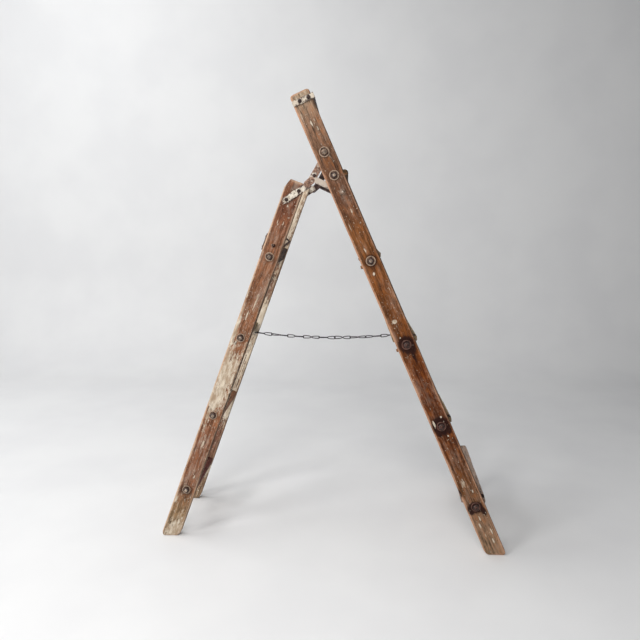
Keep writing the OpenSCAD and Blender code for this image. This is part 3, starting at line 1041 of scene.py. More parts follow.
@dataclass(frozen=True)
class Repeat:
    """Geometry Nodes set of one template on many seats.

    Args:
        name: Name of the finished piece.
        template: The repeated shape.
        seats: Where it goes.
        spin: Widest random turn about each seat's axis, radians.
        uneven: Widest random change of size.
        seed: Number that picks the turns and sizes.
    """

    name: str
    template: Shell
    seats: Sequence[Seat]
    spin: float = 0.0
    uneven: float = 0.0
    seed: int = 4

    def _tree(self) -> bpy.types.NodeTree:
        """Builds the rule that puts the template on the seats.

        Returns:
            The tree, with its sizes as named inputs.
        """
        tree = bpy.data.node_groups.new(self.name + "_rule", "GeometryNodeTree")
        for label, kind in (
            ("Seats", "Geometry"), ("Template", "Object"), ("Spin", "Float"),
            ("Uneven", "Float"), ("Seed", "Int"), ("Finish", "Material"),
        ):
            tree.interface.new_socket(label, in_out="INPUT", socket_type="NodeSocket" + kind)
        tree.interface.new_socket("Set", in_out="OUTPUT", socket_type="NodeSocketGeometry")

        def add(kind: str, inputs: dict | None = None, out: int | str = 0, **settings: object) -> Socket:
            """Adds a node.

            Args:
                kind: Its type.
                inputs: Values or other outputs by input name or number.
                out: Which output to return.
                settings: Its properties.

            Returns:
                The output.
            """
            made = tree.nodes.new(kind)
            for key, value in settings.items():
                setattr(made, key, value)
            for key, value in (inputs or {}).items():
                if isinstance(value, Socket):
                    tree.links.new(value, made.inputs[key])
                else:
                    made.inputs[key].default_value = value
            return made.outputs[out]

        given = add("NodeGroupInput").node.outputs
        shape = add("GeometryNodeObjectInfo", {"Object": given["Template"]}, "Geometry")
        turn = add("GeometryNodeInputNamedAttribute", {"Name": "turn"}, "Attribute", data_type="FLOAT_VECTOR")
        size = add("GeometryNodeInputNamedAttribute", {"Name": "size"}, "Attribute", data_type="FLOAT")
        least = add("ShaderNodeMath", {0: 1.0, 1: given["Uneven"]}, operation="SUBTRACT")
        grow = {2: least, 3: 1.0, "Seed": given["Seed"]}
        grown = add("FunctionNodeRandomValue", grow, 1, data_type="FLOAT")
        scale = add("ShaderNodeMath", {0: grown, 1: size}, operation="MULTIPLY")
        placed = add(
            "GeometryNodeInstanceOnPoints",
            {
                "Points": given["Seats"], "Instance": shape, "Scale": scale,
                "Rotation": add("FunctionNodeEulerToRotation", {0: turn}),
            },
        )
        spin = {3: given["Spin"], "Seed": given["Seed"]}
        roll = add("FunctionNodeRandomValue", spin, 1, data_type="FLOAT")
        about = add("ShaderNodeCombineXYZ", {2: roll})
        spun = add("GeometryNodeRotateInstances", {"Instances": placed, "Rotation": about})
        real = add("GeometryNodeRealizeInstances", {0: spun})
        dressed = add("GeometryNodeSetMaterial", {"Geometry": real, "Material": given["Finish"]})
        tree.links.new(dressed, tree.nodes.new("NodeGroupOutput").inputs[0])
        return tree

    def build(self, material: bpy.types.Material) -> bpy.types.Object:
        """Runs the tree once.

        Args:
            material: Finish of the set.

        Returns:
            A plain mesh object, not yet in the scene.
        """
        scene = bpy.context.scene
        name = self.name + "_pattern"
        pattern = bpy.data.objects.new(name, self.template.mesh(name, material))
        scene.collection.objects.link(pattern)
        points = bpy.data.meshes.new(self.name + "_seats")
        points.from_pydata([tuple(s.matrix.translation * METRE) for s in self.seats], [], [])
        turns = np.array([tuple(s.matrix.to_3x3().normalized().to_euler()) for s in self.seats], np.float32)
        points.attributes.new("turn", "FLOAT_VECTOR", "POINT").data.foreach_set("vector", turns.ravel())
        sizes = np.array([s.size for s in self.seats], np.float32)
        points.attributes.new("size", "FLOAT", "POINT").data.foreach_set("value", sizes)
        seats = bpy.data.objects.new(self.name + "_seats", points)
        scene.collection.objects.link(seats)
        modifier = seats.modifiers.new("rule", "NODES")
        modifier.node_group = self._tree()
        values = {
            "Template": pattern, "Spin": self.spin, "Uneven": self.uneven,
            "Seed": self.seed, "Finish": material,
        }
        for item in modifier.node_group.interface.items_tree:
            if item.in_out == "INPUT" and item.name in values:
                modifier[item.identifier] = values[item.name]
        graph = bpy.context.evaluated_depsgraph_get()
        mesh = bpy.data.meshes.new_from_object(seats.evaluated_get(graph), depsgraph=graph)
        mesh.name = self.name
        seats.modifiers.clear()
        for used in (seats, pattern):
            bpy.data.objects.remove(used, do_unlink=True)
        return bpy.data.objects.new(self.name, mesh)


# ---------------------------------------------------------------- shared places and small helpers

FRONT = Lean(foot_x=591, angle=-23.7, foot_w=538, top_w=444, length=1715, rail_w=68, rail_t=28)
REAR = Lean(foot_x=-591, angle=20.2, foot_w=352, top_w=280, length=1380, rail_w=66, rail_t=28)
TREAD_Q = (1122, 814, 506, 194)
RUNG_Q = (1103, 797, 494, 193)
BAR_Q = 1428
BAND_Q = 1689
BRACKET_TOP = (0, 1510)
BRACKET_LOW = (3, 1368)
HINGE_REAR = (42, 1381)
HINGE_FRONT = (-94.5, 1441.1)
STRAP_TURN = math.radians(234)
MID_RAIL = 14
GAP = 0.2

Row = tuple[float, ...]
Coats = dict[Coat, bpy.types.Material]


def down_strap(distance: float) -> tuple[float, float]:
    """Returns the v and q of a point on a rear strap, so far from the hinge pin."""
    return HINGE_REAR[0] + distance * math.cos(STRAP_TURN), HINGE_REAR[1] + distance * math.sin(STRAP_TURN)


def spots(channel: Channel, rows: Sequence[Row], outer: bool = True) -> tuple[Mark, ...]:
    """Returns marks from rows of v, q, reach across, reach along and amount."""
    return tuple(Mark(channel, *row, outer=outer) for row in rows)


def shades(codes: dict[float, str]) -> Stops:
    """Returns colour stops from hexadecimal digits, by distance along a timber."""
    return tuple((place, tone(code)) for place, code in codes.items())


def rail_bar(
    lean: Lean, seed: int, ease: float, tip: float, heel: float, marks: tuple[Mark, ...], **more: object
) -> Bar:
    """Returns the bar of a frame's rail, sheared at its foot to stand on the floor.

    Args:
        lean: The frame it belongs to.
        seed: Number that picks its wear.
        ease: Radius of its long edges.
        tip: Length over which its top rounds off.
        heel: Length over which its foot rounds off.
        marks: Spots on its masks.
        more: Other fields of the bar, its length among them.

    Returns:
        The bar.
    """
    sizes = {"length": lean.length, "step": 3.4, "flat": 2.8, "foot": lean.foot(), **more}
    return Bar(lean.rail_w, lean.rail_t, seed=seed, ease=ease, tip=tip, heel=heel, marks=marks, **sizes)


def face_seat(lean: Lean, side: Side, place: tuple[float, float], y: float, size: float = 1.0) -> Seat:
    """Returns a seat on a rail's outer face, its axis pointing out.

    Args:
        lean: The frame.
        side: The side of the object.
        place: Its v and q.
        y: Its depth, less than 0 outside the face.
        size: Its scale.

    Returns:
        The seat.
    """
    out = Matrix.Rotation(math.pi / 2, 4, "X")
    return Seat(lean.rail(side) @ Matrix.Translation((place[0], y, place[1])) @ out, size)


def edge_seats(lean: Lean, v: float, rows: Sequence[float], turn: float, size: float = 1.0) -> list[Seat]:
    """Returns seats on the rails' back edges, halfway through their thickness.

    Args:
        lean: The frame.
        v: Place across the rails.
        rows: Places up them.
        turn: Turn that lays the seats' axes across, radians.
        size: Their scale.

    Returns:
        One seat for each row of each rail.
    """
    lay = Matrix.Rotation(turn, 4, "Y")
    return [Seat(lean.rail(s) @ Matrix.Translation((v, MID_RAIL, q)) @ lay, size) for s in Side for q in rows]


# ---------------------------------------------------------------- sub-assemblies


@dataclass
class FrontRails:
    """The two tall rails of the front frame and their edge pegs.

    Args:
        lean: Their frame.
        crown: How far their rounded tops rise above the rails' length.
        peg_v: Place of the pegs' ends across the rails.
        peg_rows: Places of the pegs up the rails.
        rust: Rust marks, each a row of v, q, reach across, reach along and amount.
        paint: Paint marks.
        grime: Grime marks, and strips of painted shade along one long edge of the rails.
        wood: Their finish.
    """

    lean: Lean = FRONT
    crown: float = 4
    peg_v: float = -40
    peg_rows: tuple[float, ...] = (1114, 806)
    rust: tuple[Row, ...] = (
        (0, 1122, 24, 24, 0.85), (0, 1100, 15, 26, 0.4), (1, 814, 27, 30, 1.25), (14, 796, 15, 22, 0.9),
        (8, 770, 7, 34, 0.75), (0, 506, 29, 32, 1.25), (19, 490, 13, 22, 1.0), (-14, 488, 12, 17, 1.0),
        (0, 190, 26, 22, 1.1), (-20, 184, 10, 18, 1.0), (20, 172, 10, 18, 0.9), (-32, 258, 5, 16, 0.9),
        (2, 1424, 16, 20, 0.4), (0, 1500, 20, 18, 0.35), (-16, 836, 16, 60, 0.3), (4, 640, 16, 70, 0.25),
        (0, 1664, 40, 8, 0.25), (24, 440, 9, 60, 0.4),
    )
    paint: tuple[Row, ...] = (
        (-7, 902, 7, 6, 1.5), (-20, 523, 3, 12, 1.4), (11, 537, 3, 4, 1.1), (11, 251, 1.8, 6, 1.3),
        (-8, 290, 10, 22, 0.42), (-3, 147, 1.8, 9, 1.2), (-12, 120, 2, 8, 1.0), (-7, 81, 1.8, 6, 1.2),
        (17, 95, 1.8, 10, 1.2), (10, 58, 1.8, 8, 1.1), (-7, 1078, 3.4, 5, 1.0), (8, 466, 3, 5, 0.9),
        (-11, 844, 3, 5, 0.8), (13, 1493, 5, 20, 0.3), (12, 1582, 4, 40, 0.32),
        (-22, 1640, 4, 40, 0.25), (0, 1708, 60, 24, 0.2), (16, 1470, 4, 14, 0.4), (-4, 1160, 2.4, 12, 0.6),
        (20, 1010, 2, 16, 0.55), (-20, 1250, 2, 20, 0.5), (6, 1300, 2.4, 10, 0.6), (-2, 1610, 3, 16, 0.6),
    )
    # The long strips at v 33 and 34 and the short one at v 31 are painted shade along that edge of the rails;
    # the other rows darken patches of the faces.
    grime: tuple[Row, ...] = (
        (33, 1150, 4, 800, 0.75), (34, 420, 3.4, 420, 0.8), (10, 560, 20, 90, 0.28),
        (-10, 720, 14, 120, 0.22), (0, 350, 20, 120, 0.12), (31, 1660, 6, 40, 0.6),
    )
    wood: WeatheredWood = WeatheredWood(
        "front_rail_wood", FRONT.length,
        shades({
            0: "8e7258", 120: "8c6d55", 260: "654023", 420: "623416", 700: "64300c", 860: "6c3c16",
            1040: "744420", 1200: "754824", 1340: "6a4530", 1500: "6b4c38", 1620: "8a6a54", 1690: "9c846c",
        }),
        ((0, 0.2), (150, 0.16), (420, 0.06), (1000, 0.12), (1300, 0.18), (1600, 0.2), (1690, 0.22)),
        # The light edge colour and its strength are rubbed wear and also a painted highlight on the lit
        # edges.
        edge=tone("c6987a"), grey=0.32, rub=0.78, specks=0.6, warmth=0.55,
    )

    def _rails(self) -> None:
        """Builds both rails."""
        marks = spots(Channel.RUST, self.rust) + spots(Channel.PAINT, self.paint)
        marks += spots(Channel.GRIME, self.grime)
        wood = self.wood.build()
        for side, seed in ((Side.NEAR, 3), (Side.FAR, 8)):
            bar = rail_bar(self.lean, seed, 4.2, 11, 22, marks, length=self.lean.length + self.crown)
            add_piece(
                f"front_rail_{side.label}_timber", bar.shell().placed(self.lean.rail(side)), wood,
                Body.FRONT, f"front_rail_{side.label}",
            )

    def _pegs(self) -> None:
        """Builds the pegs in the rails' back edges."""
        wood = WeatheredWood("peg_wood", 20, shades({0: "7a5436", 20: "4e3220"}), edge=tone("8a6446")).build()
        seats = edge_seats(self.lean, self.peg_v, self.peg_rows, math.pi / 2)
        pegs = Repeat("edge_peg_stubs", rod(6, 0, 21, 14, 1.6, 4), seats, math.tau, 0.06).build(wood)
        settle(pegs, Body.FRONT, "edge_pegs")

    def build(self) -> None:
        """Builds the rails and the pegs."""
        self._rails()
        self._pegs()


@dataclass(frozen=True)
class Board:
    """One tread.

    Args:
        name: Which tread it is.
        q: Height of its tie rod up the rails.
        back: Its reach behind the rails' middle.
        front: Its reach before it.
        tilt: Its tilt off the level, degrees.
    """

    name: str
    q: float
    back: float
    front: float
    tilt: float


@dataclass
class Treads:
    """The four treads of the front frame, the bottom one a paler replacement that sits turned.

    Args:
        lean: Their frame.
        boards: The treads from the top down.
        thick: Thickness of a board.
        housed: How deep its ends sit in the rails.
        above_rod: How far its underside is above its tie rod.
        skew: Turn of the replacement seen from above, degrees.
        rise: Rise of the replacement toward the far side, degrees.
    """

    lean: Lean = FRONT
    boards: tuple[Board, ...] = (
        Board("top", TREAD_Q[0], 41, 35, 3), Board("upper", TREAD_Q[1], 45, 38, 4.5),
        Board("lower", TREAD_Q[2], 38, 38, 3), Board("bottom", TREAD_Q[3], 47, 37, 1.5),
    )
    thick: float = 18
    housed: float = 14
    above_rod: float = 8
    skew: float = 2.5
    rise: float = 1.4

    def _lie(self, board: Board, replaced: bool) -> Matrix:
        """Returns the matrix of a board that is made along y with its middle over the rod.

        Args:
            board: The tread.
            replaced: Whether it is the replacement, which sits turned.

        Returns:
            Its matrix.
        """
        near = -self.lean.inside(board.q)
        spot = self.lean.matrix @ Vector((0, 0, board.q))
        turn = Matrix.Identity(4)
        if replaced:
            skew, rise = math.radians(-self.skew), math.radians(self.rise)
            turn = Matrix.Rotation(skew, 4, "Z") @ Matrix.Rotation(rise, 4, "X")
        tilt = Matrix.Rotation(math.radians(-board.tilt), 4, "Y")
        corner = Matrix.Translation((spot.x, near, spot.z))
        return corner @ turn @ tilt @ Matrix.Translation((0, -near, self.above_rod))

    def build(self) -> None:
        """Builds each board along its own tilt."""
        worn = WeatheredWood(
            "tread_wood", 500, shades({0: "5a3d28", 60: "8e7453", 250: "97805f", 440: "8e7453"}),
            ((0, 0.2), (120, 0.34), (400, 0.34)), edge=tone("b39a78"), grey=0.5,
        ).build()
        pale = WeatheredWood(
            "bottom_tread_wood", 560, shades({0: "59402f", 50: "a38d80", 300: "b09a8c"}),
            ((0, 0.12), (500, 0.2)), edge=tone("bba495"), grey=0.75,
        ).build()
        for i, board in enumerate(self.boards):
            replaced = board is self.boards[-1]
            length, width = 2 * (self.lean.inside(board.q) + self.housed), board.back + board.front
            # Each board is darker over both ends and in two spots by its near end, one at the front corner.
            wear = spots(Channel.GRIME, ((0, 10, 60, 24, 0.7), (0, length - 10, 60, 24, 0.5)), False)
            wear += spots(Channel.RUST, ((width / 2 - 4, 22, 18, 14, 0.9), (-10, 30, 20, 10, 0.5)), False)
            bar = Bar(width, self.thick, length, ease=4, wear=1.1, seed=20 + i, tip=2, marks=wear)
            centred = Matrix.Translation(((board.front - board.back) / 2, -length / 2, 0))
            add_piece(
                f"tread_{board.name}_board", bar.shell().placed(self._lie(board, replaced) @ centred @ LAID),
                pale if replaced else worn, Body.FRONT, f"tread_{board.name}",
            )


@dataclass
class RearRails:
    """The two shorter rails of the rear frame, the far one under old cream paint.

    Args:
        lean: Their frame.
        tip_cut: Corner cut at their tops: side, where it starts and how fast it goes in.
        near_marks: Spots on the near rail.
        far_marks: Spots on the far rail.
        near_wood: Finish of the near rail.
        far_wood: Finish of the far rail.
    """

    lean: Lean = REAR
    tip_cut: tuple[int, float, float] = (-1, 1346, 0.36)
    # In near_marks and far_marks, the long dark strips at v 32 and v 33 are painted shade along one edge of
    # each rail.
    near_marks: tuple[Mark, ...] = spots(
        Channel.PAINT,
        (
            (-6, 660, 24, 60, 0.3), (-12, 560, 22, 50, 0.42), (-20, 480, 8, 70, 0.25),
            (-27, 820, 6, 90, 0.3), (-29, 980, 4, 90, 0.3), (-14, 1228, 1.2, 7, 1.0),
            (-10, 1219, 1.1, 5, 1.0), (6, 1228, 1.1, 7, 0.9), (0, 1290, 3, 5, 0.6), (0, 380, 6, 30, 0.3),
            (2, 30, 22, 36, 0.35), (-24, 150, 5, 16, 0.55), (14, 700, 10, 30, 0.25), (8, 930, 2, 14, 0.6),
            (-6, 880, 2, 16, 0.6), (10, 250, 2, 12, 0.6),
        ),
    ) + spots(
        Channel.RUST,
        (
            (0, 1096, 22, 20, 0.4), (2, 1144, 7, 7, 0.9), (0, 797, 20, 18, 0.4), (0, 494, 18, 16, 0.35),
            (0, 188, 26, 24, 0.7), (4, 160, 10, 30, 0.5), (-12, 772, 6, 8, 0.8),
        ),
    ) + spots(Channel.GRIME, ((32, 700, 6, 700, 0.75), (0, 1330, 26, 60, 0.3), (8, 1270, 14, 40, 0.3)))
    far_marks: tuple[Mark, ...] = spots(
        Channel.PAINT,
        ((0, 840, 60, 60, 0.2), (0, 650, 60, 60, 0.1), (0, 430, 60, 40, 0.15), (0, 145, 60, 22, 0.35)), False,
    ) + spots(
        Channel.GRIME, ((33, 700, 3.2, 800, 0.55), (10, 1010, 30, 26, 0.5), (10, 720, 30, 14, 0.4)), False
    )
    near_wood: WeatheredWood = WeatheredWood(
        "rear_rail_wood", REAR.length,
        shades({
            0: "a28c72", 90: "8c7152", 200: "7f533a", 400: "85553c", 600: "98694a", 800: "906044",
            950: "875a3f", 1150: "84583f", 1300: "70422e", 1380: "8a5f46",
        }),
        (
            (0, 0.42), (100, 0.34), (300, 0.2), (430, 0.27), (560, 0.48), (700, 0.45), (860, 0.36),
            (1000, 0.28), (1100, 0.22), (1380, 0.16),
        ),
        # The light edge colour is rubbed wear and also a painted highlight on the lit edges.
        edge=tone("d6b69a"), grey=0.75, inside=0.3, warmth=0.2, specks=0.8,
    )
    far_wood: WeatheredWood = WeatheredWood(
        "far_rail_wood", REAR.length,
        shades({0: "9a7f64", 300: "8a5f4c", 600: "a98a72", 1000: "8f6650", 1380: "a88468"}),
        (
            (0, 0.3), (100, 0.32), (140, 0.6), (200, 0.3), (250, 0.24), (340, 0.34), (420, 0.5), (560, 0.42),
            (700, 0.44), (850, 0.52), (960, 0.36), (1050, 0.42), (1220, 0.5), (1380, 0.5),
        ),
        edge=tone("c0a083"), grey=0.3, inside=0.06, rub=0.5, warmth=0.2,
        paint=tone("f8ecd8"), soil=tone("d9c6ab"),
    )

    def build(self) -> None:
        """Builds the reddish near rail and the painted far rail."""
        for side, wood, marks, slot in (
            (Side.NEAR, self.near_wood.build(), self.near_marks, Slot.REAR_WOOD),
            (Side.FAR, self.far_wood.build(), self.far_marks, Slot.FAR_WOOD),
        ):
            bar = rail_bar(self.lean, 12 + side.value, 3.8, 7, 24, marks, trims=(self.tip_cut,))
            add_piece(
                f"rear_rail_{side.label}_timber", bar.shell().placed(self.lean.rail(side)), wood, Body.REAR,
                f"rear_rail_{side.label}",
            )


@dataclass(frozen=True)
class Rung:
    """One rung.

    Args:
        name: Which rung it is.
        q: Height of its tie rod up the rails.
        height: Its size up the rails.
        wide: Its size across them.
        middle: Its middle across them.
        lift: How far it sits above its tie rod.
        code: Its colour.
    """

    name: str
    q: float
    height: float
    wide: float
    middle: float
    lift: float
    code: str

    def paler(self, times: float, more: float) -> RGB:
        """Returns its colour made paler."""
        return tuple(min(1.0, c * times + more) for c in tone(self.code))


@dataclass
class Rungs:
    """The broad top rung and the three plain ones.

    Args:
        lean: Their frame.
        rungs: The rungs from the top down.
        housed: How deep their ends sit in the rails.
    """

    lean: Lean = REAR
    rungs: tuple[Rung, ...] = (
        # The top rung's very dark colour is dark bare wood and partly painted shade.
        Rung("top", RUNG_Q[0], 46, 58, 2, 5, "35231a"), Rung("upper", RUNG_Q[1], 28, 48, -5, 3, "6f6242"),
        Rung("lower", RUNG_Q[2], 28, 58, 2, 5, "6e4a33"), Rung("bottom", RUNG_Q[3], 28, 58, 2, -3, "4a2018"),
    )
    housed: float = 9

    def build(self) -> None:
        """Builds each rung between the rails."""
        for i, rung in enumerate(self.rungs):
            half = self.lean.inside(rung.q) + self.housed
            dark, pale, rubbed = tone(rung.code), rung.paler(1.6, 0.02), rung.paler(2.2, 0.03)
            wood = WeatheredWood(
                f"rung_{rung.name}_wood", 2 * half, ((0, dark), (half, pale), (2 * half, dark)),
                ((0, 0.0), (half, 0.18), (2 * half, 0.0)), edge=rubbed, grey=0.12, rub=0.5,
            ).build()
            bar = Bar(rung.wide, rung.height, 2 * half, ease=3.4, wear=0.9, seed=40 + i, tip=2)
            low = rung.q + rung.lift - rung.height / 2
            place = self.lean.matrix @ Matrix.Translation((rung.middle, -half, low)) @ LAID
            node = f"rung_{rung.name}"
            add_piece(node + "_bar", bar.shell().placed(place), wood, Body.REAR, node)


@dataclass(frozen=True)
class BracketBolt:
    """One size of the bolts that hold the hinge brackets.

    Args:
        label: Which bolt it is.
        place: Its v and q.
        width: Its diameter.
        proud: How far it stands out of the rail's outer face.
        nut: Scale of its nut.
        washer: Scale of its washer.
        coat: Finish of its stem.
        nut_coat: Finish of its nut.
    """

    label: str
    place: tuple[float, float]
    width: float
    proud: float
    nut: float
    washer: float
    coat: Coat
    nut_coat: Coat


@dataclass
class Fasteners:
    """Tie rods, washers, nuts, bolts and screws, each kind set by one rule on its own seats.

    Args:
        coats: The iron finishes.
        rod_radius: Radius of the tie rods.
        rod_proud: How far their ends stand out of the rails.
        rusted_below: Height up the front rails below which rods and washers are heavily rusted.
        screw_v: Places of the crossbar's screws across the rails.
        screw_out: Depth of the screws' seats, outside a rail's face.
        strap_holes: Distances of the strap bolts from the hinge pin.
        plate_v: Place of the edge plates' screws across the rails.
        plate_rows: Places of those screws up the rails.
        any_turn: Widest random turn of a round fastener, radians.
        bolts: The two sizes of bracket bolt.
    """

    coats: Coats
    rod_radius: float = 5
    rod_proud: float = 15
    rusted_below: float = 870
    screw_v: tuple[float, ...] = (-9, 22)
    screw_out: float = -5.4
    strap_holes: tuple[float, ...] = (38, 90)
    plate_v: float = -36.9
    plate_rows: tuple[float, ...] = (1129, 1165)
    any_turn: float = 6.2
    bolts: tuple[BracketBolt, ...] = (
        BracketBolt("big", BRACKET_TOP, 10, 15, 1.0, 1.06, Coat.ROD, Coat.RUSTY),
        BracketBolt("small", BRACKET_LOW, 8, 11, 0.78, 0.6, Coat.SMALL_NUT, Coat.SMALL_NUT),
    )

    def _washer(self) -> Shell:
        """Returns a dished washer with a raised rim."""
        rim = ((15.8, 0), (17, 0.6), (17, 2.9), (15.8, 3.5), (14.2, 3.0))
        return lathe(((6, 0.4), (7.5, 0), *rim, (12.4, 1.5), (8.6, 1.4), (6.4, 1.4)), 20, True)

    def _nut(self) -> Shell:
        """Returns a six-sided nut."""
        return lathe(((5.1, 0.2), (8.2, 0), (8.5, 0.8), (8.5, 6.4), (7.7, 7.9), (5.6, 8.0)), 18, True, 6)

    def _head(self) -> Shell:
        """Returns a domed screw head."""
        return lathe(((1.5, 0), (6.2, 0), (7, 0.5), (6.7, 2.0), (5.2, 3.5), (2.6, 4.0), (0.6, 4.1)), 14)

    def _rods(self, lean: Lean, body: Body, rows: Sequence[float], name: str, node: str, coat: Coat) -> None:
        """Builds the tie rods of some rows as one piece.

        Args:
            lean: Their frame.
            body: Its body.
            rows: Their heights up the rails.
            name: Name of the piece.
            node: The CAD node of the frame's rods.
            coat: Their finish.
        """
        shells = []
        for q in rows:
            reach = lean.out(q) + self.rod_proud
            shells.append(rod(self.rod_radius, -reach, reach, 12, 1.5, 12).placed(lean.across(0, q)))
        add_piece(name, Shell.joined(shells), self.coats[coat], body, node)

    def _set(self, repeat: Repeat, coat: Coat, body: Body, node: str, slot: Slot = Slot.DARK_IRON) -> None:
        """Builds one set of repeated fasteners."""
        settle(repeat.build(self.coats[coat]), body, node)

    def _rod_ends(self, lean: Lean, body: Body, rows: Sequence[float], name: str, size: float) -> None:
        """Builds the washers and nuts on the ends of a frame's tie rods.

        Args:
            lean: The frame.
            body: Its body.
            rows: Heights of its rods.
            name: The frame's short name.
            size: Scale of its washers.
        """
        plain, rusted, nuts = [], [], []
        for side in Side:
            for q in rows:
                place = (0, q / math.cos(lean.splay))
                low = lean is FRONT and q < self.rusted_below
                (rusted if low else plain).append(face_seat(lean, side, place, -GAP, size))
                nuts.append(face_seat(lean, side, place, -4.0))
            if lean is FRONT:
                plain += [face_seat(lean, side, bolt.place, -GAP, bolt.washer) for bolt in self.bolts]
        for label, seats, coat in (("washer", plain, Coat.RUSTY), ("rusted_washer", rusted, Coat.HEAVY_RUST)):
            if seats:
                rings = Repeat(f"{name}_{label}_set", self._washer(), seats, self.any_turn, 0.04, 7)
                self._set(rings, coat, body, name + "_washers", Slot.RUSTY_IRON)
        nut_set = Repeat(name + "_nut_set", self._nut(), nuts, 1.0, 0.05, 9)
        self._set(nut_set, Coat.DARK, body, name + "_nuts", Slot.RUSTY_IRON)

    def _bracket_bolts(self) -> None:
        """Builds the nuts and the stems of the bolts through the hinge brackets."""
        for bolt in self.bolts:
            seats = [face_seat(FRONT, side, bolt.place, -3.6, bolt.nut) for side in Side]
            nuts = Repeat(f"bracket_{bolt.label}_nuts", self._nut(), seats, 1.0, 0.05, 3)
            self._set(nuts, bolt.nut_coat, Body.FRONT, "bracket_bolt_nuts", Slot.RUSTY_IRON)
        for bolt in self.bolts:
            v, q = bolt.place
            shells = []
            for side in Side:
                place = FRONT.rail(side) @ Matrix.Translation((v, 0, q)) @ Y_AXIS
                shells.append(rod(bolt.width / 2, -bolt.proud, 34.5, 12, 1.2, 3).placed(place))
                shells.append(rod(bolt.width, 34.4, 40.3, 14, 1.6).placed(place))
            add_piece(
                f"bracket_bolt_stems_{bolt.width}", Shell.joined(shells), self.coats[bolt.coat],
                Body.FRONT, "bracket_bolts",
            )

    def build(self) -> None:
        """Builds every fastener of both frames."""
        rows = TREAD_Q + (BAR_Q,)
        upper, lower = [q for q in rows if q > self.rusted_below], [q for q in rows if q < self.rusted_below]
        self._rods(FRONT, Body.FRONT, upper, "front_tie_rods_bars", "front_tie_rods", Coat.ROD)
        self._rods(FRONT, Body.FRONT, lower, "front_tie_rods_rusted_bars", "front_tie_rods", Coat.HEAVY_RUST)
        self._rods(REAR, Body.REAR, RUNG_Q, "rear_tie_rods_bars", "rear_tie_rods", Coat.ROD)
        self._rod_ends(FRONT, Body.FRONT, rows, "front", 1.0)
        self._rod_ends(REAR, Body.REAR, RUNG_Q, "rear", 0.94)
        self._bracket_bolts()
        crown = [face_seat(FRONT, s, (v, BAND_Q), self.screw_out) for s in Side for v in self.screw_v]
        strap = [face_seat(REAR, s, down_strap(d), self.screw_out) for s in Side for d in self.strap_holes]
        plate = edge_seats(REAR, self.plate_v, self.plate_rows, -math.pi / 2, 0.62)
        for name, seats, seed, coat, body, node in (
            ("crossbar_screw_set", crown, 5, Coat.DARK, Body.FRONT, "top_crossbar_screws"),
            ("strap_bolt_set", strap, 6, Coat.DARK, Body.REAR, "strap_bolts"),
            ("plate_screw_set", plate, 2, Coat.RUSTY, Body.REAR, "edge_plate_screws"),
        ):
            self._set(Repeat(name, self._head(), seats, self.any_turn, 0.05, seed), coat, body, node)


